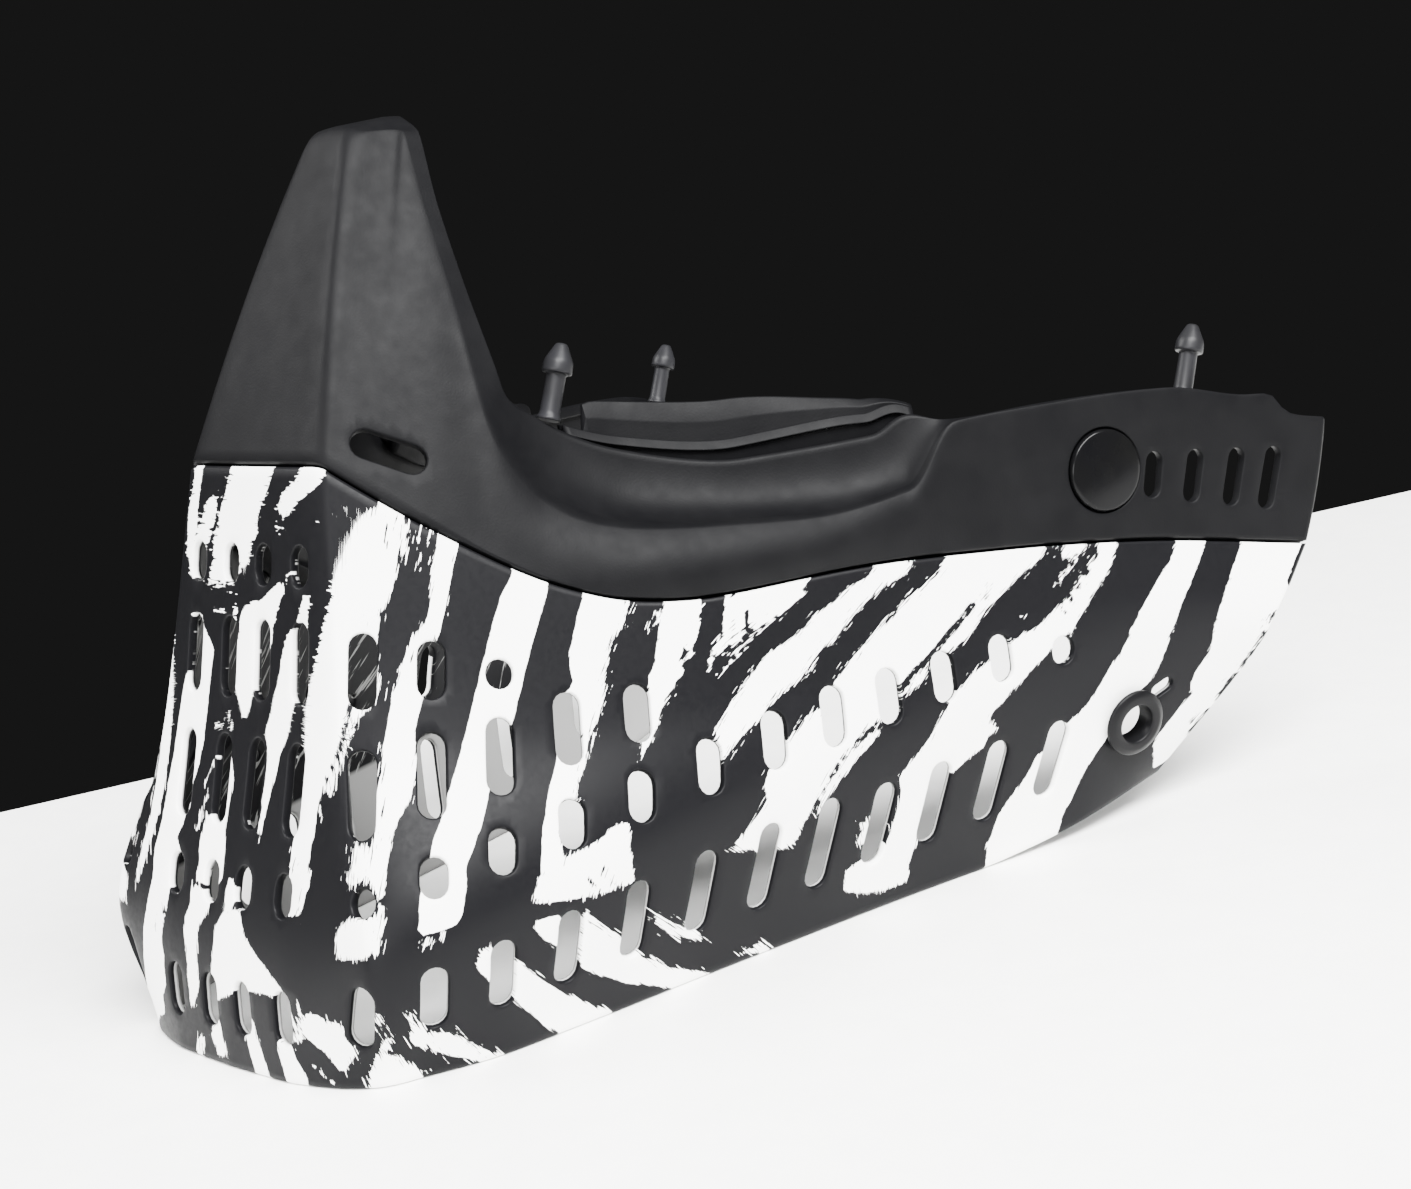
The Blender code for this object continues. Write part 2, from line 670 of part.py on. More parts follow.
def main():
    clear_scene()
    striped = material("striped_shell", (0.80, 0.80, 0.79), 0.45)
    rubber = material("dark_moulding", (0.035, 0.035, 0.037), 0.55)
    seat = material("dark_seat", (0.040, 0.040, 0.042), 0.45)
    pin = material("grey_pin", (0.12, 0.12, 0.12), 0.40)
    gloss = material("gloss_black", (0.015, 0.015, 0.016), 0.12)
    ring = material("ring_black", (0.03, 0.03, 0.03), 0.30)
    build_shell(striped)
    build_moulding(rubber)
    for side, word in ((1, "left"), (-1, "right")):
        build_seat("lens_seat_" + word, side, seat)
        build_front_pin("front_pin_" + word, side, pin)
        build_tab("rear_tab_" + word, side, seat)
        build_rear_pin("rear_pin_" + word, side, pin)
        build_button("ear_button_" + word, side, gloss)
        build_ring("strap_ring_" + word, side, ring)


main()
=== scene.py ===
# %% [markdown]
# # Lower face shield of a paintball mask, with a zebra print
#
# The real object is two mouldings. A hard shell, about 2 mm thick, goes round the chin and the
# cheeks: it is injection moulded in one shot with all its vents and then printed. A dark, softer
# moulding sits on its upper edge and carries the nose peak, the cheek rims and the ear plates.
# Barbed pins, lens seats, glossy ear buttons and strap rings are small mouldings of their own.
#
# This script dresses the fixed CAD frame. All lengths in the arrays are millimetres, and meshes
# are scaled to metres when they are made.

# %% Modules, the fixed frame and its box
import json
import math

import bmesh
import bpy
import numpy as np
from mathutils import Matrix, Vector
from mathutils.geometry import delaunay_2d_cdt

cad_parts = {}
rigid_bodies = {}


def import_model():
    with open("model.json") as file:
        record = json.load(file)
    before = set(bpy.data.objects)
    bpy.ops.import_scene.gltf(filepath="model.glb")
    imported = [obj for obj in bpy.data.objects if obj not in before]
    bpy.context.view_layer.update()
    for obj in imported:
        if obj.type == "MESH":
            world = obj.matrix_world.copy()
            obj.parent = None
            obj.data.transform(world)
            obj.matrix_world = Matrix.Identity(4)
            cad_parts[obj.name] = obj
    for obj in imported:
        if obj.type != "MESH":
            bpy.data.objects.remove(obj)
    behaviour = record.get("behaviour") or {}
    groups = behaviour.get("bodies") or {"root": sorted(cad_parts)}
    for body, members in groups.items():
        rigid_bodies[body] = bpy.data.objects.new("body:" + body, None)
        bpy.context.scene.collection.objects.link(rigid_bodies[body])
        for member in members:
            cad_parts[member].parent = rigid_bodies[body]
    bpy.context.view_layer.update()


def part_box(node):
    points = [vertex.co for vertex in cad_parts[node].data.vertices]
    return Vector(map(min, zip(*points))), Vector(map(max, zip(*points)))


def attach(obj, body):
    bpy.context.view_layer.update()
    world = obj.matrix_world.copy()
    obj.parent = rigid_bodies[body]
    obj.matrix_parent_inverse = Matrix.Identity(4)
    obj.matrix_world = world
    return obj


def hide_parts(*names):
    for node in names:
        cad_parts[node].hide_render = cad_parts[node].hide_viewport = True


for item in list(bpy.data.objects):
    bpy.data.objects.remove(item, do_unlink=True)
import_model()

# %% [markdown]
# ## Rails: the few curves that give both mouldings their form
#
# A mould maker describes such a shield by its character lines: the jaw edge, the crease above it,
# the cheek line, the parting seam, the flank, the brow ridge and the lip. Each rail is a short
# table of its places at stations counted from the middle of the front (0) to the rear edge (17).
# Stations 3 to 14 are the columns of side vents. The numbers are shares of half the width, of the
# length and of the height, the same as in the CAD source.

# %% Rail tables
SIZE = np.array([98.7, 232.1, 168.8])
REAR = 17.0
CORNER, CORNER_REACH = 2.0, 0.22

# Rows of (station, share of half the width, share of the length, share of the height).
RAILS = {
    "jaw": [(0, 0, 0, 0), (1.5, 0.19, 0.003, 0), (2.2, 0.318, 0.016, 0), (3, 0.4, 0.037, 0),
        (4, 0.441, 0.07, 0), (5, 0.495, 0.121, 0), (6, 0.52, 0.174, 0), (9, 0.588, 0.357, 0),
        (13, 0.693, 0.591, 0), (14, 0.735, 0.652, 0.007), (15, 0.771, 0.711, 0.019),
        (17, 0.796, 0.8, 0.04)],
    "crease": [(0, 0, 0.02, 0.154), (1.5, 0.19, 0.022, 0.154), (2, 0.344, 0.028, 0.158),
        (3, 0.435, 0.032, 0.16), (4, 0.519, 0.076, 0.167), (6, 0.588, 0.193, 0.176),
        (9, 0.666, 0.386, 0.187), (13, 0.779, 0.617, 0.194), (15, 0.851, 0.746, 0.185),
        (17, 0.933, 0.88, 0.16)],
    "cheek": [(0, 0, 0.079, 0.379), (1.5, 0.19, 0.08, 0.379), (2, 0.3, 0.083, 0.379),
        (3, 0.338, 0.094, 0.357), (4, 0.412, 0.138, 0.348), (6, 0.513, 0.24, 0.326),
        (9, 0.64, 0.414, 0.306), (13, 0.782, 0.628, 0.293), (15, 0.869, 0.757, 0.273),
        (17, 0.977, 0.911, 0.219)],
    "seam": [(0, 0, 0.133, 0.65), (1.5, 0.167, 0.134, 0.65), (2, 0.232, 0.137, 0.649),
        (3, 0.281, 0.16, 0.612), (4, 0.347, 0.196, 0.56), (6, 0.468, 0.279, 0.466),
        (7, 0.523, 0.329, 0.434), (8, 0.579, 0.385, 0.418), (10, 0.67, 0.505, 0.408),
        (13, 0.77, 0.654, 0.38), (15, 0.86, 0.788, 0.345), (17, 0.979, 0.96, 0.283)],
    "flank": [(0, 0, 0.204, 0.835), (1.5, 0.111, 0.204, 0.835), (2, 0.151, 0.205, 0.834),
        (3, 0.205, 0.234, 0.794), (4, 0.289, 0.239, 0.701), (5, 0.373, 0.251, 0.586),
        (6, 0.446, 0.283, 0.514), (7, 0.515, 0.328, 0.478), (8, 0.592, 0.394, 0.459),
        (10, 0.683, 0.507, 0.443), (11, 0.714, 0.561, 0.446), (12, 0.743, 0.614, 0.464),
        (15, 0.87, 0.81, 0.433), (17, 0.991, 0.983, 0.357)],
    "brow": [(0, 0, 0.273, 0.999), (1.5, 0.053, 0.272, 0.996), (2, 0.077, 0.275, 0.989),
        (3, 0.11, 0.312, 0.982), (3.7, 0.18, 0.298, 0.893), (4.4, 0.25, 0.287, 0.796),
        (5.2, 0.344, 0.271, 0.656), (6, 0.404, 0.296, 0.561), (7, 0.473, 0.339, 0.52),
        (8, 0.567, 0.416, 0.496), (10, 0.668, 0.522, 0.477), (11, 0.707, 0.577, 0.48),
        (12.1, 0.744, 0.63, 0.545), (14, 0.813, 0.732, 0.537), (15.2, 0.886, 0.843, 0.52),
        (16, 0.941, 0.918, 0.488), (16.3, 0.961, 0.944, 0.481), (16.5, 0.973, 0.96, 0.453),
        (17, 1, 1, 0.434)],
    "lip": [(0, 0, 0.333, 1), (1.5, 0.056, 0.332, 0.998), (2, 0.081, 0.331, 0.992),
        (3, 0.111, 0.33, 0.979), (3.7, 0.178, 0.315, 0.892), (4.4, 0.243, 0.307, 0.797),
        (5.2, 0.312, 0.302, 0.69), (6, 0.322, 0.333, 0.64), (7, 0.375, 0.389, 0.588),
        (8.3, 0.492, 0.476, 0.549), (10.4, 0.624, 0.577, 0.544), (11.3, 0.663, 0.606, 0.56),
        (12.1, 0.712, 0.633, 0.546), (14, 0.781, 0.734, 0.536), (15.2, 0.856, 0.845, 0.518),
        (16, 0.91, 0.92, 0.486), (16.3, 0.93, 0.945, 0.479), (16.5, 0.942, 0.961, 0.451),
        (17, 0.969, 1, 0.432)],
}
# Rows of (station, how deep the surface dips between brow and lip, in mm). A full dip also moves
# the middle of the dish by this share of its width towards the lip, so it ends in a steep wall.
DISH = np.array([(0, 0), (5, 0), (5.6, 1.6), (7, 4), (10, 4), (11, 3), (12.1, 0.2),
                 (17, 0.2)], float)
DISH_SWEEP, FULL_DIP = 0.2, 4.0
# How far the arc over the brow ridge reaches below and above it, in levels.
BROW_REACH = (0.07, 0.16)
print("rails:", {name: len(rows) for name, rows in RAILS.items()})

# %% [markdown]
# ## Curves and surfaces as functions of two parameters
#
# Along a rail runs a cubic through its rows whose slope at a row is the harmonic mean of the two
# chords beside it, so it never overshoots. Up the shell runs a Catmull-Rom cubic through the
# four rails; up the moulding runs one parabola from seam to brow and one from brow to lip.
# Where two faces meet at a ridge, a parabolic arc that touches both replaces the sharp corner,
# as the cutter's radius does in a real mould.


# %% Rails, faces and their normals
def unit(v):
    """Vectors brought to length 1."""
    return v / np.linalg.norm(v, axis=-1, keepdims=True)


def arc_over(low, corner, high, f):
    """A parabola from low to high that touches both lines to the corner, read at f from 0 to 1."""
    return low * (1 - f) ** 2 + 2 * corner * f * (1 - f) + high * f * f


def through_rows(rows, at):
    """Monotone cubic through rows of (station, values...), read at an array of stations."""
    x, y = rows[:, 0], rows[:, 1:]
    step = np.diff(x)[:, None]
    chord = np.diff(y, axis=0) / step
    slope = np.vstack([chord[:1], np.zeros_like(y[2:]), chord[-1:]])
    before, after = 2 * step[1:] + step[:-1], step[1:] + 2 * step[:-1]
    same = chord[:-1] * chord[1:] > 0
    first, second = (np.where(same, part, 1) for part in (chord[:-1], chord[1:]))
    slope[1:-1] = np.where(same, (before + after) / (before / first + after / second), 0.0)
    at = np.clip(at, x[0], x[-1])
    i = np.clip(np.searchsorted(x, at, side="right") - 1, 0, len(x) - 2)
    h = step[i, 0][..., None]
    t = ((at - x[i]) / step[i, 0])[..., None]
    start = y[i] * (1 + 2 * t) * (1 - t) ** 2 + h * slope[i] * t * (1 - t) ** 2
    return start + y[i + 1] * t * t * (3 - 2 * t) - h * slope[i + 1] * t * t * (1 - t)


def rail(name, station):
    """Points of a rail in mm: a front run, a side run and an arc over the corner between them."""
    rows = np.array(RAILS[name], float)
    rows[:, 1:] = (rows[:, 1:] - [0.0, 0.5, 0.0]) * SIZE
    corner = np.concatenate([[CORNER], through_rows(rows, np.array(CORNER))])
    front = np.vstack([rows[rows[:, 0] < CORNER], corner])
    side = np.vstack([corner, rows[rows[:, 0] > CORNER]])
    at = np.abs(station)
    points = np.where((at < CORNER)[..., None], through_rows(front, at), through_rows(side, at))
    low = through_rows(front, np.array(CORNER - CORNER_REACH))
    high = through_rows(side, np.array(CORNER + CORNER_REACH))
    f = np.clip((at - CORNER + CORNER_REACH) / (2 * CORNER_REACH), 0, 1)[..., None]
    points = np.where((f > 0) & (f < 1), arc_over(low, corner[1:], high, f), points)
    sign, one = np.where(station < 0, -1.0, 1.0), np.ones_like(at)
    return points * np.stack([sign, one, one], -1)


def shell_face(station, level):
    """Outer face of the shell; level 0 is the jaw, 1 the crease, 2 the cheek, 3 the seam."""
    station, level = np.broadcast_arrays(np.asarray(station, float), np.asarray(level, float))
    rails = [rail(name, station) for name in ("jaw", "crease", "cheek", "seam")]
    rails = np.stack([2 * rails[0] - rails[1], *rails, 2 * rails[3] - rails[2]])
    i = np.clip(level.astype(int), 0, 2)
    f = (level - i)[..., None]
    a, b, c, d = (np.take_along_axis(rails, (i + k)[None, ..., None], 0)[0] for k in range(4))
    square, cube = 2 * a - 5 * b + 4 * c - d, 3 * b - a - 3 * c + d
    return 0.5 * (2 * b + (c - a) * f + square * f**2 + cube * f**3)


def mould_face(station, level):
    """Outer face of the moulding; level 0 is the seam, 0.5 the flank, 1 the brow, 2 the lip."""
    station, level = np.broadcast_arrays(np.asarray(station, float), np.asarray(level, float))
    seam, flank, brow, lip = (rail(name, station) for name in ("seam", "flank", "brow", "lip"))
    dip = np.interp(np.abs(station), DISH[:, 0], DISH[:, 1])[..., None]
    middle = brow + (lip - brow) * (0.5 + DISH_SWEEP * dip / FULL_DIP)
    middle[..., 2:] = (brow[..., 2:] + lip[..., 2:]) / 2 - dip

    def parabola(start, halfway, end, f):
        return start * (1 - f) * (1 - 2 * f) + halfway * 4 * f * (1 - f) + end * f * (2 * f - 1)

    f = level[..., None]
    lower = parabola(seam, flank, brow, np.minimum(f, 1))
    upper = parabola(brow, middle, lip, np.maximum(f - 1, 0))
    below, above = BROW_REACH
    g = np.clip((f - 1 + below) / (below + above), 0, 1)
    low, high = parabola(seam, flank, brow, 1 - below), parabola(brow, middle, lip, above)
    arc = arc_over(low, brow, high, g)
    return np.where((g > 0) & (g < 1), arc, np.where(f < 1, lower, upper))


def outward(face, station, level, top, reach=(0.01, 0.01)):
    """Unit normals: the cross product of a short step along the stations and one up the levels."""
    back, front = np.minimum(station + reach[0], REAR), np.maximum(station - reach[0], -REAR)
    high, low = np.minimum(level + reach[1], top), np.maximum(level - reach[1], 0.0)
    along = face(back, level) - face(front, level)
    return unit(np.cross(along, face(station, high) - face(station, low)))


SHELL_TOP, MOULD_TOP = 3.0, 2.0
print("nose tip", mould_face(0.0, 1.0).round(1), "ear corner", mould_face(REAR, 1.0).round(1))

# %% [markdown]
# ## Slots: outlines found on the curved face
#
# Every vent is a stadium, a straight slot with round ends. In the tool it is a straight pin that
# goes through the wall, so the outline is flat and is cut along one direction. The outline is
# drawn in the plane that touches the face at the slot's middle, and Newton steps then find the
# (station, level) place under each of its points.


# %% Outlines on a face
NEWTON_STEPS = 5
SMALL = 0.01  # a short way in stations or levels, for slopes


def places_under(face, top, place, targets, normals):
    """(station, level) of the points of a face that lie under targets, seen along normals."""
    def flat(vectors):
        return vectors - (vectors * normals).sum(1, keepdims=True) * normals

    place = place.copy()
    for _ in range(NEWTON_STEPS):
        here = face(place[:, 0], place[:, 1])
        a = flat((face(place[:, 0] + SMALL, place[:, 1]) - here) / SMALL)
        b = flat((face(place[:, 0], place[:, 1] + SMALL) - here) / SMALL)
        miss = flat(targets - here)
        aa, ab, bb = (a * a).sum(1), (a * b).sum(1), (b * b).sum(1)
        am, bm = (a * miss).sum(1), (b * miss).sum(1)
        step = np.stack([am * bb - bm * ab, bm * aa - am * ab], 1)
        place += step / (aa * bb - ab * ab)[:, None]
        place[:, 1] = np.clip(place[:, 1], 0.0, top - 2 * SMALL)
    return place


def hole(face, top, first, last, width, round_steps=9, straight_steps=5):
    """A slot between two (station, level) tips, or a round hole where they are the same place."""
    centre = (np.array(first) + last) / 2
    normal = outward(face, centre[0], centre[1], top)
    tips = face(np.array([first[0], last[0]]), np.array([first[1], last[1]]))
    axis = tips[0] - tips[1] if first != last else np.cross(normal, [0.0, 0.0, 1.0])
    axis = axis - normal * (axis @ normal)
    length = np.linalg.norm(axis) if first != last else 0.0
    axis /= np.linalg.norm(axis)
    turn = np.linspace(-math.pi / 2, math.pi / 2, round_steps, endpoint=straight_steps > 0)
    run = np.linspace(1, -1, straight_steps + 2)[1:-1]
    arc = np.stack([np.cos(turn), np.sin(turn)], 1)
    side = np.stack([run * 0, run * 0 + 1], 1)
    half_run = max(length - width, 0.0) / 2
    return {
        "centre": centre, "normal": normal, "origin": tips.mean(0), "radius": width / 2,
        "axes": np.stack([axis, np.cross(normal, axis)]),
        "unit": np.vstack([arc, side, -arc, -side]),
        "shift": half_run * np.concatenate([turn * 0 + 1, run, turn * 0 - 1, -run]),
    }


def find_rings(face, top, holes, grows):
    """For each distance in mm, the places along every hole's outline grown outwards by it."""
    targets = []
    for grow in grows:
        for h in holes:
            flat = h["unit"] * (h["radius"] + grow)
            flat[:, 0] += h["shift"]
            targets.append(h["origin"] + flat @ h["axes"])
    counts = [len(h["unit"]) for h in holes] * len(grows)
    starts, normals = (np.repeat([h[word] for h in holes] * len(grows), counts, 0)
                       for word in ("centre", "normal"))
    found = places_under(face, top, starts, np.vstack(targets), normals)
    rings = np.split(found, np.cumsum(counts)[:-1])
    return [rings[k * len(holes):(k + 1) * len(holes)] for k in range(len(grows))]


# %% Where the vents are
VENT_WIDTH = 5.3
FRONT_STATIONS = (0.5, 1.5)
FRONT_VENTS = [(2.70, 2.54), (2.41, 2.08), (1.92, 1.52), (1.35, 1.13), (0.70, 0.28)]
# Rows of (station, upper end, lower end, how far the lower end lies further forward). The slots
# between two rows are spaced evenly from one to the other.
VENT_ROWS = [
    [(3, 2.46, 2.15, 0.0), (4, 2.48, 2.20, 0.0), (5, 2.44, 2.26, 0.0)],
    [(3, 1.98, 1.57, 0.0), (4, 2.04, 1.61, 0.0), (5, 2.10, 1.65, 0.0), (6, 2.24, 1.73, -0.05),
     (7, 2.25, 1.77, -0.05)],
    [(3, 1.34, 1.18, 0.0), (4, 1.42, 1.19, 0.0), (7, 1.57, 1.19, 0.0), (10, 1.86, 1.21, -0.05),
     (13, 1.94, 1.29, -0.05), (14, 1.73, 1.32, 0.0)],
    [(4, 0.78, 0.35, 0.0), (7, 0.80, 0.32, 0.03), (10, 0.82, 0.29, 0.10), (11, 0.78, 0.30, 0.11),
     (14, 0.79, 0.32, 0.13)],
]
CORNER_VENT = ((2.86, 0.77), (2.60, 0.32))
CRESCENT, CRESCENT_WIDTH = ((15.56, 0.80), (15.83, 0.90)), 3.0
STRAP_PLACE, STRAP_HOLE = (15.29, 0.64), 5.2
NOSE_VENT, NOSE_VENT_WIDTH = ((2.60, 0.115), (3.92, 0.225)), 5.5
# Rows of (station, upper end, lower end).
EAR_SLOTS = [(15.07, 0.585, 0.285), (15.57, 0.605, 0.258), (16.03, 0.645, 0.255),
             (16.43, 0.702, 0.250)]
EAR_SLOT_WIDTH = 4.0
BUTTON_PLACE, BUTTON_RADIUS, BUTTON_RECESS = (14.38, 0.490), 8.4, 1.2


def shell_slots():
    """Tips and width of every slot of the wearer's left half of the shell."""
    slots = [((s, high), (s, low), VENT_WIDTH) for s in FRONT_STATIONS for high, low in FRONT_VENTS]
    for table in VENT_ROWS:
        known, *columns = zip(*table)
        for s in range(known[0], known[-1] + 1):
            high, low, lean = (np.interp(s, known, column) for column in columns)
            slots.append(((s + lean / 2, high), (s - lean / 2, low), VENT_WIDTH))
    return slots + [(*CORNER_VENT, VENT_WIDTH), (*CRESCENT, CRESCENT_WIDTH)]


print("slots in half the shell:", len(shell_slots()))

# %% [markdown]
# ## A wall with holes
#
# The wall is meshed in the flat (station, level) chart: a regular grid of points, rings of points
# round every hole, and a Delaunay triangulation that keeps the rings as edges. The same flat
# triangles serve the outer face and the inner face. Rings of points that step down between them
# close each hole with a small rounded rim, and the borders are closed in the same way.


# %% Mesh pieces in arrays
STATION_MM = 12.0  # length of a station in the flat chart
RIM = 0.4  # radius of every rim, in mm
CLEAR_OF_RINGS = 0.55  # how far the grid keeps from a hole's ring, in mm
SOFT_REACH = (0.25, 0.12)  # stations and levels over which deep normals are smoothed
POCKET_RINGS = (0.0, -1.5, -3.5, -5.5, -7.5)  # growth of the rings on a pocket's floor


def new_object(name, data):
    """Make an object of a mesh, camera or lamp, and put it in the scene."""
    made = bpy.data.objects.new(name, data)
    bpy.context.scene.collection.objects.link(made)
    return made


def store(mesh, word, values):
    """Keep one number per point under a name, for the materials to read."""
    mesh.attributes.new(word, "FLOAT", "POINT").data.foreach_set("value", values.astype("f"))


class Build:
    """Points, faces and per-point values of one mesh, gathered from arrays."""

    def __init__(self):
        self.points, self.values, self.faces, self.count = [], [], [], 0

    def add(self, points, values=(0, 0, 0)):
        """Add points (n, 3) in mm with their (station, level, depth), and return their numbers."""
        points = np.asarray(points, float).reshape(-1, 3)
        self.points.append(points)
        self.values.append(np.broadcast_to(values, (len(points), 3)))
        self.count += len(points)
        return np.arange(self.count - len(points), self.count)

    def strip(self, low, high, closed=False):
        """Quads between two rows of points."""
        if closed:
            low, high = np.append(low, low[0]), np.append(high, high[0])
        self.faces.append(np.stack([low[:-1], low[1:], high[1:], high[:-1]], 1))

    def ladder(self, rows, closed=False, capped=False):
        """Strips from each row of points to the next, and a face on the first and last row."""
        for low, high in zip(rows, rows[1:]):
            self.strip(low, high, closed)
        if capped:
            self.faces += [rows[0][None], rows[-1][None]]

    def object(self, name, mirrored=False):
        """Make the object. A mirrored one shares the points that lie on its middle plane."""
        points, values = np.vstack(self.points), np.vstack(self.values)
        faces = list(self.faces)
        if mirrored:
            middle = np.abs(points[:, 0]) < 1e-4
            number = np.where(middle, np.arange(len(points)), len(points) + np.cumsum(~middle) - 1)
            faces += [number[f][:, ::-1] for f in self.faces]
            points = np.vstack([points, points[~middle] * [-1, 1, 1]])
            values = np.vstack([values, values[~middle] * [-1, 1, 1]])
        mesh = bpy.data.meshes.new(name)
        mesh.from_pydata((points / 1000).tolist(), [], [row for f in faces for row in f.tolist()])
        work = bmesh.new()
        work.from_mesh(mesh)
        loose = [v for v in work.verts if not v.link_faces]
        bmesh.ops.delete(work, geom=loose, context="VERTS")
        bmesh.ops.recalc_face_normals(work, faces=work.faces)
        print(name, "open edges:", sum(not e.is_manifold for e in work.edges))
        work.to_mesh(mesh)
        work.free()
        mesh.polygons.foreach_set("use_smooth", np.ones(len(mesh.polygons), bool))
        used = np.unique(np.concatenate([f.ravel() for f in faces]))
        for k, word in enumerate(("station", "level", "depth")):
            store(mesh, word, values[used, k])
        return new_object(name, mesh)


def inside(ring, points):
    """Which points lie in a closed ring: a ray to the right crosses it an odd number of times."""
    a, b = ring, np.roll(ring, -1, 0)
    odd = np.zeros(len(points), bool)
    for (ax, ay), (bx, by) in zip(a, b):
        if ay == by:
            continue
        hit = (points[:, 1] > min(ay, by)) & (points[:, 1] <= max(ay, by))
        odd ^= hit & (points[:, 0] < ax + (points[:, 1] - ay) * (bx - ax) / (by - ay))
    return odd


def triangulate(stations, levels, rings, level_mm):
    """Triangles of the flat chart: its places, triangles, and the ring that holds each triangle."""
    scale = np.array([STATION_MM, level_mm])
    grid = np.stack(np.meshgrid(stations, levels, indexing="ij"), -1).reshape(-1, 2)
    clear = np.ones(len(grid), bool)
    for ring in rings:
        reach = np.ptp(ring, axis=0) * scale / 2 + 2
        near = (np.abs(grid - ring.mean(0)) * scale < reach).all(1)
        gap = np.linalg.norm((grid[near, None] - ring[None]) * scale, axis=2).min(1)
        clear[near] &= gap > CLEAR_OF_RINGS
    places = np.vstack([grid[clear], *rings])
    edges, start = [], int(clear.sum())
    for ring in rings:
        loop = list(range(start, start + len(ring)))
        edges += list(zip(loop, loop[1:] + loop[:1]))
        start += len(ring)
    flat = [Vector(p) for p in places * scale]
    made = delaunay_2d_cdt(flat, edges, [], 0, 1e-5)
    assert [row[0] for row in made[3]] == list(range(len(places)))
    triangles = np.array(made[2])
    middles = places[triangles].mean(1)
    holder = np.full(len(triangles), -1)
    for k, ring in enumerate(rings):
        near = np.where(((middles >= ring.min(0)) & (middles <= ring.max(0))).all(1))[0]
        holder[near[inside(ring, middles[near])]] = k
    return places, triangles, holder


def wall(face, top, thickness, levels, level_mm, holes, pocket=None):
    """A wall under a face, with rounded holes through it.

    thickness is a function of (station, level). The hole numbered pocket[0] is only sunk to the
    depth pocket[1]. Returns the mesh arrays and the outer and inner rows along three borders."""
    build, stations = Build(), station_marks()

    def lay(places, depth):
        """Add points at a depth under the face. Deep ones follow normals smoothed over a reach."""
        station, level = places.T
        full = thickness(station, level)
        depth = depth(full) if callable(depth) else np.full(len(places), depth)
        share = (depth / full)[:, None]
        sharp = outward(face, station, level, top)
        soft = outward(face, station, level, top, SOFT_REACH)
        points = face(station, level) - depth[:, None] * (sharp * (1 - share) + soft * share)
        return build.add(points, np.hstack([places, share]))

    half = RIM * (1 - math.sqrt(0.5))
    wide, middle, tight = find_rings(face, top, holes, (RIM, half, 0.0))
    places, triangles, holder = triangulate(stations, levels, wide, level_mm)
    station, level = places.T
    borders = {"low": (level == levels[0], station), "rear": (station == stations[-1], level),
               "high": (level == levels[-1], station)}
    sunk = np.where(np.any([on for on, _ in borders.values()], axis=0), RIM, 0.0)
    outer = lay(places, lambda full: sunk)
    inner = lay(places, lambda full: full - sunk)
    build.faces.append(outer[triangles[holder < 0]])
    through = (holder < 0) if pocket is None else (holder < 0) | (holder == pocket[0])
    build.faces.append(inner[triangles[through]][:, ::-1])

    counts = np.cumsum([len(ring) for ring in wide])
    edge = np.split(np.arange(len(places) - counts[-1], len(places)), counts[:-1])
    steps = [(middle, half), (tight, RIM), (tight, lambda full: full - RIM),
             (middle, lambda full: full - half)]
    rows = [np.split(lay(np.vstack(rings), depth), counts[:-1]) for rings, depth in steps]
    for k in range(len(holes)):
        if pocket is not None and k == pocket[0]:
            shrunk = find_rings(face, top, [holes[k]], POCKET_RINGS)
            rungs = [outer[edge[k]], rows[0][k], rows[1][k]]
            rungs += [lay(rings[0], pocket[1]) for rings in shrunk]
            build.faces.append(rungs[-1][None])
        else:
            rungs = [outer[edge[k]], *(row[k] for row in rows), inner[edge[k]]]
        build.ladder(rungs, closed=True)

    sides = {}
    for word, (on, along) in borders.items():
        numbers = np.where(on)[0]
        numbers = numbers[np.argsort(along[numbers])]
        sides[word] = (outer[numbers], inner[numbers])
    return build, sides


def station_marks():
    """Stations of the grid: even, closer round the corner, and one just before the rear edge."""
    front, side = np.arange(0, 1.7, 0.1), np.arange(2.34, REAR - 0.05, 0.1)
    ridge = np.arange(CORNER - 0.27, CORNER + 0.28, 0.045)
    return np.concatenate([front, ridge, side, [REAR - 0.03, REAR]])


# %% [markdown]
# ## The shell
#
# The wall is 2 mm thick. Its lower edge is cut flat, because the shield stands on it, and rises a
# little at the rear. Its upper edge is a thin rim, with a groove between it and the dark moulding.

# %% Shell
SHELL_WALL = 2.0
SHELL_LEVEL_MM = 24.0


def shell_thickness(station, level):
    """The same everywhere."""
    return np.full(np.shape(station), SHELL_WALL)


levels = np.concatenate([[0, 0.014], np.linspace(0.05, 2.95, 56), [2.986, 3]])
holes = [hole(shell_face, SHELL_TOP, *slot) for slot in shell_slots()]
holes.append(hole(shell_face, SHELL_TOP, STRAP_PLACE, STRAP_PLACE, 2 * STRAP_HOLE, 20, 0))
build, sides = wall(shell_face, SHELL_TOP, shell_thickness, levels, SHELL_LEVEL_MM, holes)
# The first two batches of points are the outer and the inner face, numbered alike. The foot of
# both is brought to the height of the jaw rail, so the edge is cut flat.
foot = sides["low"][0]
for points, values in zip(build.points[:2], build.values[:2]):
    points[foot, 2] = rail("jaw", values[foot, 0])[:, 2]
for outer, inner in sides.values():
    build.strip(outer, inner)
shell = build.object("striped_shell", mirrored=True)
print("shell:", len(shell.data.polygons), "faces")

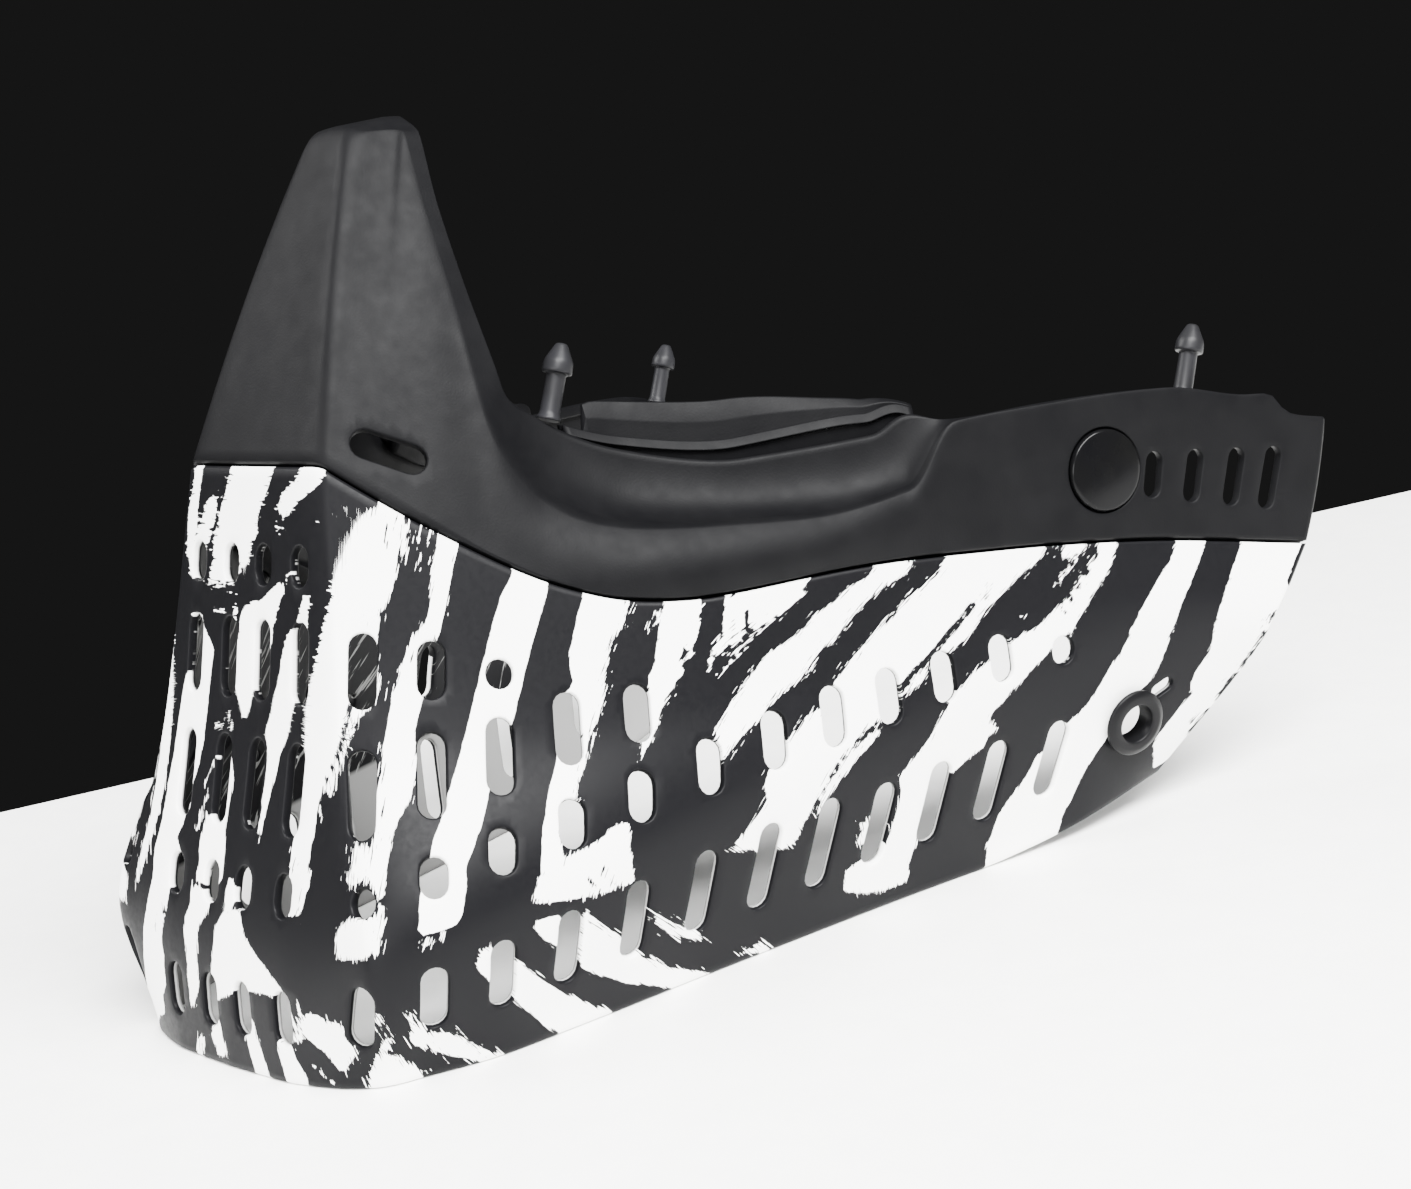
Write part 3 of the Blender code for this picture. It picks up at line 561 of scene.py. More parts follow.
# %% [markdown]
# ## The print: a chart of brushed stripes
#
# The stripes were laid over the shell as a film, so they run on across vents and into their
# walls. They are charted here, as a sign painter would set them out: each white island is
# a ladder of rungs (level, left station, right station), and a curve is drawn through the ends of
# the rungs. Islands also say how dry the brush was on the left and on the right edge, from 0, a
# clean edge, to 1, broken into dashes. Strokes are single brush marks of one width.

# %% White islands and brush strokes
# Rows of (dry left, dry right, rungs of (level, left station, right station)).
FRONT_ISLANDS = [
    (0.9, 0.9, [(2.53, -1.36, -0.9), (2.56, -1.25, -0.45), (2.6, -1.12, -0.05),
        (2.63, -1.08, 0.05), (2.66, -1, 0.08), (2.69, -1.1, 0.15), (2.72, -1.05, 0.25),
        (2.75, -1, 0.31), (2.8, -0.9, 0.32), (2.85, -0.85, 0.42), (2.9, -0.72, 0.58),
        (2.95, -0.65, 0.72), (3, -0.6, 0.8)]),
    (0.7, 0.2, [(2.55, -1.67, -1.55), (2.62, -1.76, -1.58), (2.7, -1.85, -1.6), (2.8, -1.9, -1.6),
        (2.9, -1.8, -1.57), (3, -1.75, -1.5)]),
    (0.9, 0.9, [(2.63, -1.55, -1.42), (2.67, -1.6, -1.28), (2.72, -1.62, -1.18),
        (2.78, -1.45, -1.08), (2.83, -1.4, -1), (2.88, -1.3, -1.05)]),
    (0.1, 0.15, [(0, -3.2, -2.6), (0.05, -3.1, -2.35), (0.1, -3, -2.2), (0.15, -2.9, -2.08),
        (0.2, -2.8, -1.88), (0.3, -2.62, -1.83), (0.35, -2.5, -1.82), (0.4, -2.35, -1.78),
        (0.5, -2.2, -1.7), (0.6, -2.12, -1.7), (0.7, -2.05, -1.68), (0.8, -2, -1.7),
        (0.9, -1.95, -1.68), (1, -1.9, -1.63), (1.1, -1.86, -1.6), (1.2, -1.83, -1.58),
        (1.3, -1.85, -1.47), (1.35, -1.83, -1.45), (1.4, -1.82, -1.55), (1.45, -1.8, -1.5),
        (1.5, -1.79, -1.42), (1.6, -1.78, -1.45), (1.7, -1.77, -1.28), (1.8, -1.75, -1.19),
        (1.9, -1.74, -1.13), (2, -1.72, -1.1), (2.1, -1.69, -1.07), (2.2, -1.62, -1.02),
        (2.26, -1.6, -0.97), (2.3, -1.6, -1.08), (2.36, -1.6, -1.3), (2.41, -1.63, -1.36)]),
    (0.2, 0.3, [(1.13, -1.46, -1.41), (1.2, -1.47, -1.39), (1.3, -1.45, -1.37)]),
    (0.3, 0.3, [(1.22, -1.1, -0.3), (1.25, -1.02, -0.15), (1.3, -0.95, -0.13), (1.4, -0.98, -0.14),
        (1.5, -0.92, -0.18), (1.54, -0.85, -0.18), (1.57, -0.5, -0.17), (1.65, -0.38, -0.14),
        (1.72, -0.37, -0.12), (1.8, -0.38, -0.2), (1.86, -0.4, -0.32)]),
    (0.3, 0.3, [(2, 0, 0.12), (2.05, -0.08, 0.22), (2.1, -0.2, 0.26), (2.15, -0.3, 0.3),
        (2.2, -0.34, 0.35), (2.25, -0.28, 0.5), (2.3, -0.24, 0.8), (2.35, -0.2, 0.82),
        (2.4, -0.15, 0.83), (2.44, -0.12, 0.95), (2.47, 0.3, 0.98), (2.5, 0.6, 1.08),
        (2.56, 1, 1.2)]),
    (0.2, 0.3, [(2.42, -1.05, -0.65), (2.46, -1.08, -0.5)]),
    (0.6, 0.6, [(2.4, -0.42, -0.28), (2.46, -0.36, -0.2)]),
    (0.3, 0.4, [(0.38, -1.17, -1.08), (0.45, -1.15, -1), (0.5, -1.17, -0.92), (0.6, -1.18, -0.85),
        (0.7, -1.17, -0.85), (0.8, -1.2, -0.88), (0.9, -1.24, -0.87), (1, -1.23, -0.8),
        (1.03, -1.21, -0.7), (1.07, -1.15, -0.53), (1.12, -1.1, -0.47), (1.17, -1.12, -0.6),
        (1.2, -1.08, -0.82)]),
    (0.3, 0.3, [(0.49, -0.42, -0.28), (0.53, -0.45, -0.12), (0.57, -0.42, 0.12), (0.6, -0.4, 0.28),
        (0.64, -0.42, 0.6), (0.66, -0.42, 1.5), (0.7, -0.4, 1.54), (0.76, -0.37, 1.44),
        (0.8, -0.35, 1.33), (0.85, -0.32, 1.2), (0.9, -0.3, 1.02), (0.95, -0.28, 0.84),
        (1, -0.24, 0.67), (1.05, -0.14, 0.58), (1.1, -0.02, 0.52), (1.13, 0.2, 0.47)]),
    (0.2, 0.2, [(1.13, 0, 0.12), (1.17, 0, 0.3), (1.2, 0.01, 0.33), (1.24, 0.03, 0.25),
        (1.28, 0.08, 0.18)]),
    (0.5, 0.4, [(0.06, -0.4, -0.05), (0.1, -0.42, -0.08), (0.15, -0.5, -0.12), (0.2, -0.55, -0.17),
        (0.25, -0.48, -0.18), (0.3, -0.42, -0.2), (0.34, -0.35, -0.22)]),
    (0.8, 0.8, [(0.03, -1.05, -0.9), (0.08, -1.08, -0.8), (0.13, -0.98, -0.8),
        (0.17, -0.95, -0.82)]),
    (0.7, 0.3, [(2.8, 0.92, 1.1), (2.84, 0.95, 1.35), (2.9, 1.1, 1.75), (2.96, 1.5, 2.05),
        (3, 1.6, 2.1)]),
    (0.3, 0.3, [(1.48, 0.77, 0.88), (1.54, 0.79, 0.92), (1.6, 0.8, 0.95), (1.7, 0.81, 1.02),
        (1.8, 0.83, 1.12), (1.88, 0.83, 1.17), (1.92, 0.73, 1.27), (1.96, 0.7, 1.32),
        (2.02, 0.83, 1.35), (2.08, 0.88, 1.4), (2.2, 1.04, 1.4), (2.3, 1.12, 1.42),
        (2.36, 1.25, 1.55), (2.4, 1.42, 1.65), (2.46, 1.52, 1.7), (2.52, 1.6, 1.74)]),
    (0.3, 0.3, [(0.03, 0.71, 1.1), (0.1, 0.65, 1.02), (0.2, 0.58, 0.94), (0.3, 0.54, 0.87),
        (0.4, 0.69, 0.83), (0.43, 0.71, 0.79)]),
    (0.3, 0.4, [(0.03, 1.48, 1.79), (0.1, 1.42, 1.75), (0.2, 1.37, 1.65), (0.26, 1.33, 1.6),
        (0.3, 1.35, 1.6)]),
    (0.5, 0.6, [(0.14, 2.2, 2.3), (0.2, 2.12, 2.38), (0.24, 2.04, 2.48), (0.28, 1.98, 2.5),
        (0.34, 1.85, 2.46), (0.4, 1.75, 2.33), (0.5, 1.75, 2.3), (0.53, 1.77, 2),
        (0.56, 1.77, 1.92)]),
]
SIDE_ISLANDS = [
    (0.85, 0.75, [(1.08, 1.68, 1.71), (1.15, 1.6, 1.72), (1.2, 1.58, 1.74), (1.3, 1.57, 1.76),
        (1.4, 1.57, 1.78), (1.5, 1.57, 1.8), (1.6, 1.58, 1.85), (1.7, 1.6, 1.92), (1.8, 1.61, 2.1),
        (1.9, 1.62, 2.35), (2, 1.62, 2.62), (2.08, 1.63, 2.8), (2.2, 1.7, 3.25), (2.3, 1.8, 3.27),
        (2.4, 1.9, 3.25), (2.5, 2.08, 3.27), (2.6, 2.2, 3.38), (2.7, 2.45, 3.48),
        (2.8, 2.66, 3.56), (2.9, 2.92, 3.55), (3, 3.2, 3.6)]),
    (1, 1, [(1.35, 2.4, 2.75), (1.4, 2.62, 3.15), (1.46, 2.75, 3.2), (1.54, 2.82, 3.25)]),
    (0.8, 0.45, [(1, 3.28, 3.31), (1.1, 3.26, 3.35), (1.2, 3.3, 3.38), (1.3, 3.3, 3.39),
        (1.4, 3.15, 3.42), (1.5, 3.2, 3.46), (1.6, 3.27, 3.52), (1.7, 3.27, 3.67),
        (1.8, 3.29, 3.77), (1.9, 3.35, 3.8), (2, 3.38, 3.78), (2.1, 3.44, 3.81), (2.2, 3.48, 3.87),
        (2.3, 3.56, 3.85), (2.4, 3.65, 3.82), (2.5, 3.79, 4.1), (2.6, 3.96, 4.19),
        (2.7, 3.98, 4.24), (2.8, 4, 4.29), (2.9, 4.05, 4.33), (3, 4.08, 4.37)]),
    (0.6, 0.6, [(0.945, 2.3, 2.5), (0.96, 2.1, 2.9), (1, 2.2, 3.3), (1.04, 2.15, 3.27),
        (1.1, 2.2, 3.27), (1.15, 2.45, 3.3), (1.18, 2.7, 3.3)]),
    (0.05, 0.05, [(1, 3.76, 4.3), (1.05, 3.77, 4.4), (1.1, 3.79, 4.42), (1.2, 3.8, 4.46),
        (1.3, 3.85, 4.46), (1.4, 3.93, 4.58), (1.5, 4, 4.69), (1.6, 4.12, 4.77), (1.7, 4.21, 4.83),
        (1.8, 4.31, 4.93), (1.9, 4.4, 5.03), (2, 4.48, 5.13), (2.2, 4.62, 5.27), (2.4, 4.75, 5.38),
        (2.6, 4.88, 5.5), (2.8, 5.02, 5.62), (3, 5.19, 5.72)]),
    (1, 0.8, [(0.03, 2.67, 3.8), (0.1, 2.7, 3.65), (0.14, 2.75, 3.5), (0.2, 2.83, 3.4),
        (0.26, 2.92, 3.1), (0.32, 3.04, 3.25), (0.38, 3.17, 3.31)]),
    (0.8, 0.8, [(0.46, 3.05, 3.12), (0.52, 3.07, 3.18), (0.58, 3.1, 3.19)]),
    (0.9, 0.9, [(0, 4.7, 5.05), (0.04, 4.58, 4.9), (0.1, 4.3, 4.7), (0.16, 4.08, 4.56),
        (0.22, 3.88, 4.42), (0.28, 3.62, 4.27), (0.34, 3.58, 3.85), (0.4, 3.64, 3.8),
        (0.46, 3.58, 3.67), (0.54, 3.56, 3.63)]),
    (0.5, 0.2, [(0.55, 4.8, 4.83), (0.62, 4.7, 4.83), (0.7, 4.6, 4.83), (0.74, 4.63, 4.83),
        (0.79, 4.7, 4.8)]),
    (0.3, 0.5, [(0, 5.97, 6.8), (0.1, 5.7, 6.5), (0.2, 5.5, 6.2), (0.28, 5.33, 5.95),
        (0.36, 5.17, 5.75), (0.5, 5.17, 5.43), (0.62, 5.17, 5.23)]),
    (0.4, 0.3, [(0.81, 6.6, 6.9), (0.84, 6.3, 6.9), (0.88, 5.9, 6.88), (0.92, 5.6, 6.86),
        (0.95, 5.42, 6.85), (1, 5.42, 6.83), (1.05, 5.46, 6.82), (1.1, 5.5, 6.81),
        (1.15, 5.9, 6.81), (1.2, 6.46, 6.81), (1.24, 6.54, 6.77)]),
    (0.1, 0.9, [(1.1, 5.5, 5.95), (1.2, 5.54, 5.84), (1.3, 5.55, 5.82), (1.4, 5.58, 5.83),
        (1.5, 5.63, 6.08), (1.6, 5.67, 6.1), (1.7, 5.75, 6.2), (1.8, 5.81, 6.25), (1.9, 5.83, 6.3),
        (2, 5.85, 6.42), (2.1, 5.85, 6.48), (2.2, 5.9, 6.53), (2.3, 6.08, 6.52), (2.4, 6.04, 6.55),
        (2.5, 6.02, 6.58), (2.6, 6.06, 6.58), (2.7, 6.1, 6.7), (2.8, 6.13, 6.79),
        (2.9, 6.19, 6.85), (3, 6.23, 6.89)]),
    (0.4, 0.1, [(0.6, 5.8, 5.83), (0.7, 5.57, 5.83), (0.76, 5.48, 5.83), (0.8, 5.43, 5.83),
        (0.83, 5.42, 5.5)]),
    (0.3, 0.8, [(0, 7.75, 8.35), (0.05, 7.55, 8.15), (0.1, 7.3, 7.9), (0.15, 7.05, 7.65),
        (0.2, 6.85, 7.5), (0.25, 6.7, 7.35), (0.3, 6.5, 7.15), (0.35, 6.35, 7.1),
        (0.42, 6.19, 6.9), (0.5, 6.19, 6.77), (0.6, 6.19, 6.5), (0.7, 6.19, 6.33),
        (0.77, 6.19, 6.25)]),
    (1, 1, [(0.27, 8, 8.12), (0.32, 7.75, 8), (0.38, 7.55, 7.78), (0.45, 7.38, 7.55),
        (0.55, 7.2, 7.3)]),
    (0.8, 0.8, [(0, 9.2, 9.35), (0.03, 9, 9.3), (0.08, 8.75, 9.1)]),
    (0.4, 0.6, [(1.62, 6.95, 6.99), (1.7, 7, 7.09), (1.8, 7.05, 7.2), (1.9, 7.1, 7.3),
        (2, 7.15, 7.37), (2.1, 7.15, 7.48), (2.2, 7.15, 7.58), (2.3, 7.15, 7.65), (2.4, 7.23, 7.7),
        (2.5, 7.25, 7.76), (2.6, 7.27, 7.82), (2.7, 7.29, 7.85), (2.8, 7.31, 7.88),
        (3, 7.38, 7.88)]),
    (0.4, 0.8, [(2.28, 7.97, 8), (2.35, 7.98, 8.08), (2.4, 8.02, 8.12), (2.46, 8.05, 8.3),
        (2.5, 8.08, 8.4), (2.55, 8.12, 8.5), (2.6, 8.15, 8.62), (2.7, 8.19, 9), (2.8, 8.21, 9.25),
        (2.9, 8.21, 9.33), (3, 8.21, 9.4)]),
    (0.6, 0.9, [(1.44, 8.15, 8.2), (1.5, 8.15, 8.3), (1.6, 8.13, 8.5), (1.7, 8.1, 8.75),
        (1.8, 8.22, 8.9), (1.9, 8.34, 9.1), (2, 8.45, 9.45), (2.1, 8.58, 9.58), (2.2, 8.72, 9.7),
        (2.3, 8.86, 9.95), (2.4, 9.15, 10.1), (2.5, 9.47, 10.2), (2.6, 9.58, 10.4),
        (2.7, 9.88, 10.62), (2.8, 10.04, 10.9), (2.9, 10.4, 11.2), (3, 10.5, 11.25)]),
    (0.7, 0.6, [(0.62, 8.98, 9.4), (0.66, 8.85, 9.5), (0.7, 8.7, 9.52), (0.75, 8.35, 9.58),
        (0.8, 8.45, 9.65), (0.85, 8.6, 9.7), (0.9, 8.7, 9.77), (0.95, 8.82, 9.83), (1, 8.87, 9.9),
        (1.05, 8.85, 9.98), (1.1, 8.82, 10.05), (1.2, 8.85, 10.3), (1.3, 9.12, 10.6),
        (1.4, 9.13, 11.15), (1.5, 9.38, 11.2), (1.6, 9.5, 11.6), (1.7, 10.05, 11.7),
        (1.8, 10.03, 11.8), (1.9, 10.04, 12.15), (2, 10.27, 12.45), (2.1, 10.4, 12.6),
        (2.2, 10.55, 12.68), (2.3, 10.72, 12.77), (2.4, 11, 12.96), (2.5, 11.1, 13.1),
        (2.6, 11.3, 13.2), (2.7, 11.54, 13.37), (2.8, 11.8, 13.52), (2.9, 11.85, 13.63),
        (3, 11.9, 13.67)]),
    (0.5, 0.5, [(0.74, 9.71, 9.77), (0.8, 9.77, 9.88), (0.9, 9.88, 10.04), (1, 10.04, 10.25),
        (1.1, 10.2, 10.54), (1.2, 10.54, 10.77), (1.25, 10.75, 10.85)]),
    (0.5, 0.4, [(0.1, 11.3, 11.7), (0.16, 10.75, 11.75), (0.2, 10.55, 11.7), (0.25, 10.5, 11.72),
        (0.32, 10.5, 11.78), (0.36, 10.85, 11.75), (0.4, 11.2, 11.75), (0.5, 11.25, 11.8),
        (0.6, 11.29, 11.85), (0.7, 11.3, 12.3), (0.75, 11.25, 12.5), (0.8, 11.23, 12.77),
        (0.85, 11.35, 12.8), (0.9, 11.5, 12.95), (0.95, 11.6, 12.8), (1, 11.7, 12.78),
        (1.1, 11.85, 13), (1.2, 12, 13.2), (1.3, 12.1, 13.4), (1.4, 12.3, 13.56),
        (1.5, 12.45, 13.72), (1.6, 12.75, 13.85), (1.7, 13.1, 14.03), (1.8, 13.2, 14.17),
        (1.9, 13.5, 14.22), (2, 13.72, 14.3), (2.1, 13.85, 14.36), (2.2, 14, 14.42),
        (2.3, 14.1, 14.48), (2.4, 14.17, 14.52), (2.5, 14.22, 14.58), (2.6, 14.27, 14.62),
        (2.7, 14.35, 14.65), (2.8, 14.38, 14.67), (3, 14.43, 14.69)]),
    (1, 1, [(0.45, 10.62, 10.8), (0.52, 10.65, 10.85), (0.6, 10.6, 10.7)]),
    (1, 1, [(2.82, 13.92, 14.05), (2.9, 13.92, 14.2), (3, 13.95, 14.25)]),
    (0.3, 0.2, [(0, 13.17, 14.4), (0.1, 13.15, 14.4), (0.16, 13.12, 14.43), (0.2, 13.18, 14.5),
        (0.3, 13.22, 14.57), (0.4, 13.4, 14.67), (0.5, 13.6, 14.82), (0.6, 13.75, 14.98),
        (0.65, 13.9, 15), (0.7, 14, 15.02), (0.78, 14.2, 15.1), (0.85, 14.4, 15.25),
        (0.9, 14.48, 15.38), (1, 14.58, 15.48), (1.1, 14.67, 15.52), (1.2, 14.77, 15.55),
        (1.4, 14.92, 15.58), (1.6, 15.02, 15.63), (1.8, 15.1, 15.67), (2, 15.19, 15.7),
        (2.4, 15.33, 15.76), (2.8, 15.45, 15.8), (3, 15.46, 15.81)]),
    (0.3, 0, [(0.1, 16.6, 16.9), (0.2, 16.4, 17.2), (0.3, 16.2, 17.2), (0.4, 16.05, 17.2),
        (0.5, 16.12, 17.2), (0.6, 16.2, 17.2), (0.7, 16.28, 17.2), (0.76, 16.35, 17.2),
        (0.8, 16.2, 17.2), (0.9, 16.17, 17.2), (1, 16.19, 17.2), (1.2, 16.24, 17.2),
        (1.5, 16.2, 17.2), (2.5, 16.21, 17.2), (3, 16.23, 17.2)]),
]

# Rows of (width in mm, dryness, places of (station, level)). White strokes lie on dark ground,
# and dark ones on white.
FRONT_WHITE_STROKES = [
    (0.8, 0.3, [(-0.98, 1.68), (-0.75, 1.8), (-0.6, 1.83), (-0.35, 1.86)]),
    (0.7, 0.5, [(-1.12, 1.46), (-0.97, 1.57), (-0.85, 1.65)]),
    (0.7, 0.5, [(-0.8, 1.95), (-0.55, 1.96), (-0.4, 2), (-0.3, 1.95)]),
    (0.6, 0.4, [(-1.98, 2.66), (-1.75, 2.63)]),
    (0.5, 0.2, [(0, 2.455), (0.6, 2.5), (1.3, 2.595)]),
    (0.5, 0.4, [(1.9, 2.8), (2.7, 2.92)]),
    (0.4, 0.4, [(0.75, 2.71), (1.3, 2.77)]),
    (0.5, 0.4, [(1.83, 0.18), (2.15, 0.03)]),
    (0.4, 0.8, [(1.63, 0.3), (1.66, 0.65)]),
    (0.4, 0.8, [(1.73, 0.34), (1.71, 0.62)]),
]
SIDE_WHITE_STROKES = [
    (0.5, 0.9, [(3.6, 2.78), (3.7, 2.98)]),
    (0.5, 0.9, [(3.85, 2.8), (3.9, 3)]),
    (0.5, 0.8, [(3.85, 0.95), (4.1, 0.96)]),
    (0.45, 0.5, [(7.25, 2.9), (7.13, 2.7)]),
    (0.6, 0.3, [(9.4, 2.87), (8.8, 2.6), (8.15, 2.2)]),
    (0.6, 0.4, [(13.85, 2.45), (14.2, 2.85)]),
    (0.7, 0.5, [(15.85, 0.5), (15.97, 0.5)]),
    (0.6, 0.2, [(13.35, 2.1), (13.4, 2.12)]),
    (0.6, 0.2, [(13.38, 1.05), (13.42, 1.05)]),
    (0.6, 0.2, [(12.44, 1.17), (12.48, 1.17)]),
    (0.6, 0.4, [(8.26, 0.2), (8.3, 0.21)]),
]
FRONT_DARK_STROKES = [
    (0.5, 0.3, [(0, 1.11), (0.25, 1.12), (0.5, 1.14)]),
    (0.4, 0.3, [(-0.45, 2.61), (-0.2, 2.62)]),
    (0.5, 0.8, [(-1.8, 0.85), (-1.75, 1)]),
]
SIDE_DARK_STROKES = [
    (1, 0.3, [(2.68, 2.16), (2.15, 1.9), (1.93, 1.8), (1.83, 1.64), (1.79, 1.48), (1.77, 1.34)]),
    (0.6, 0.5, [(3.35, 2.85), (3.4, 3)]),
    (0.6, 0.6, [(3.13, 2.55), (3.18, 2.57)]),
    (0.8, 0.5, [(6.2, 0.97), (6.42, 0.82)]),
    (0.8, 0.5, [(6.45, 0.97), (6.7, 0.82)]),
    (0.9, 0.5, [(7.3, 1.92), (7.45, 2.08), (7.6, 2.25)]),
    (0.8, 0.5, [(7.61, 2.35), (7.67, 2.55)]),
    (0.8, 0.6, [(8.5, 2.52), (8.55, 2.8)]),
    (0.5, 1, [(8.25, 2.45), (8.3, 2.7), (8.32, 3)]),
    (0.9, 0.7, [(10.3, 2.3), (10.55, 2.45), (10.75, 2.6)]),
    (1.5, 0.3, [(12.52, 2.37), (12.3, 2.2), (12.05, 2.05), (11.85, 1.9),
                (11.5, 1.75), (11.2, 1.58)]),
    (0.9, 0.6, [(12.75, 2.55), (12.79, 2.57)]),
    (0.9, 0.6, [(12.68, 2.45), (12.72, 2.46)]),
    (0.5, 0.3, [(14.49, 2.95), (14.3, 2.5), (14.15, 2.25), (14, 2)]),
    (2.6, 0.1, [(17, 3), (17, 2.75), (17.03, 2.4)]),
    (1.4, 0.5, [(16.9, 1.66), (16.93, 1.86)]),
    (1.3, 0.7, [(16.93, 1.2), (16.95, 1.45)]),
    (1.5, 0.6, [(16.93, 0.94), (16.95, 1.1)]),
    (1.4, 0.6, [(16.93, 0.66), (16.96, 0.84)]),
    (0.9, 0.5, [(16.76, 0.76), (16.79, 0.84)]),
    (1.4, 0.6, [(16.93, 0.34), (16.96, 0.52)]),
    (0.8, 0.5, [(16.72, 0.44), (16.75, 0.5)]),
]
print("islands:", len(FRONT_ISLANDS) + len(SIDE_ISLANDS))

# %% [markdown]
# ## From the chart to distances
#
# Each point of the shell stores how far it lies inside the white, in mm, measured in space from
# the nearest edge of an island or stroke. The shader can then keep an edge sharp at any size,
# and break it up with noise where the brush was dry. The wearer's right side has stripes of its
# own: the same strokes are moved and stretched along it, so the two sides don't match.


# %% Signed distances
FAR = 9.0
STROKE_REACH = 5.0
# About how many mm a station and a level span, for the search for points near a mark.
SPAN_MM = np.array([12, 20])
PAST_REAR = REAR + 0.2
# Rows of (station, lean of the stripes in stations per level), above and below the bend.
BEND = 0.8
LEAN_ABOVE = np.array([(0, 0.2), (4, 0.7), (6, 0.6), (8, 1.3), (9, 1.48), (11.3, 1.2), (13.8, 0.6),
                       (17, 0.1)])
LEAN_BELOW = np.array([(0, 0), (3, -1), (5, -2), (8, -2.8), (10.5, -1), (11.5, 0), (14, 0.8),
                       (17, 0.3)])
BRUSH_STATION_MM, BRUSH_LEVEL_MM = 12.5, 25
RIGHT_SIDE_SHIFT = 170.0


def edges_of(rungs):
    """Closed outline of an island, with its ends past the wall's borders where it runs off them."""
    rungs = np.array(rungs, float)
    if rungs[0, 0] < 0.035:
        rungs = np.vstack([rungs[0] - [rungs[0, 0] + 0.15, 0, 0], rungs])
    if rungs[-1, 0] > 2.99:
        rungs = np.vstack([rungs, rungs[-1] + [0.15, 0, 0]])
    even = np.arange(rungs[0, 0], rungs[-1, 0], 0.03)
    level = np.unique(np.concatenate([even, rungs[:, 0]]))
    left, right = through_rows(rungs, level).T
    outline = np.vstack([np.stack([left, level], 1), np.stack([right, level], 1)[::-1]])
    return outline, len(level)


def off_border(place):
    """Which places lie past an edge of the wall."""
    return (place[:, 1] < 0) | (place[:, 1] > SHELL_TOP) | (np.abs(place[:, 0]) > REAR)


def nearest(points, a, b):
    """Distance from points to the nearest of many segments, and which it is."""
    best, which = np.full(len(points), 1e9), np.zeros(len(points), int)
    for k, (p, q) in enumerate(zip(a, b)):
        along = q - p
        f = np.clip((points - p) @ along / max(along @ along, 1e-9), 0, 1)
        far = np.linalg.norm(points - p - f[:, None] * along, axis=1)
        closer = far < best
        best[closer], which[closer] = far[closer], k
    return best, which


class Print:
    """Signed distance (mm, positive in the white) and dryness of every point of a wall."""

    def __init__(self, places, points):
        self.places, self.points = places, points
        self.white, self.dry = np.full(len(places), -FAR), np.zeros(len(places))
        self.close = np.full(len(places), FAR)

    def near(self, outline, reach=FAR):
        """The points that an outline may come within reach of."""
        low, high = outline.min(0) - reach / SPAN_MM, outline.max(0) + reach / SPAN_MM
        return np.where(((self.places > low) & (self.places < high)).all(1))[0]

    def keep(self, which, signed, dry, dark=False):
        """Take in a mark: a white one adds to the white, a dark one cuts it away."""
        known = self.white[which]
        self.white[which] = np.minimum(known, -signed) if dark else np.maximum(known, signed)
        closer = np.abs(signed) < self.close[which]
        self.close[which[closer]] = np.abs(signed)[closer]
        self.dry[which[closer]] = dry[closer]

    def island(self, dry_left, dry_right, rungs, warp):
        """Take in the white between the ends of an island's rungs."""
        outline, half = edges_of(rungs)
        outline = warp(outline)
        which = self.near(outline)
        spots = shell_face(outline[:, 0], np.clip(outline[:, 1], -0.1, SHELL_TOP + 0.1))
        ends = np.roll(np.arange(len(outline)), -1)
        real = ~(off_border(outline) & off_border(outline[ends]))
        far, segment = nearest(self.points[which], spots[real], spots[ends][real])
        dryness = np.where(np.arange(len(outline)) < half, dry_left, dry_right)[real]
        signed = np.where(inside(outline, self.places[which]), far, -far)
        self.keep(which, signed, dryness[segment])

    def stroke(self, width, dry, places, warp, dark):
        """Take in a single mark of one width along its places."""
        places = warp(np.array(places, float))
        which = self.near(places, STROKE_REACH)
        spots = shell_face(places[:, 0], places[:, 1])
        far, _ = nearest(self.points[which], spots[:-1], spots[1:])
        self.keep(which, width / 2 - far, np.full(len(which), dry), dark)


def as_charted(places):
    """Places as they stand in the chart."""
    return places


def other_side(places):
    """Places on the wearer's right: moved forward, stretched and swayed."""
    station, level = places.T
    sway = 0.25 * np.sin(2.3 * level + station / 3)
    moved = 2.4 + (np.minimum(station, PAST_REAR) - 1.57) * 0.955 + sway - 0.35
    moved = np.where(station > 16.9, PAST_REAR, moved)
    return np.stack([-moved, level], 1)


def everywhere(front, side):
    """Each mark with its warp: all of them as charted, and then those of the side once more."""
    return [(as_charted, mark) for mark in front + side] + [(other_side, mark) for mark in side]


def brush_run(places):
    """The brush's own coordinates in mm, across and along the stripes.

    A place is followed down its stripe's lean to the bend. Near the front's top edge the brush ran
    level, so there the two change places."""
    station, level = np.abs(places.T)
    foot = station.copy()
    for _ in range(3):
        above, below = (np.interp(foot, *lean.T) for lean in (LEAN_ABOVE, LEAN_BELOW))
        foot = station - np.where(level > BEND, above, below) * (level - BEND)
    front = np.clip((3.0 - station) / 0.8, 0, 1) * np.clip((level - 1.9) / 0.3, 0, 1)
    side, height = foot * BRUSH_STATION_MM, level * BRUSH_LEVEL_MM
    across = side * (1 - front) + height * front
    along = height * (1 - front) + station * BRUSH_STATION_MM * front
    return across + np.where(places[:, 0] < 0, RIGHT_SIDE_SHIFT, 0.0), along


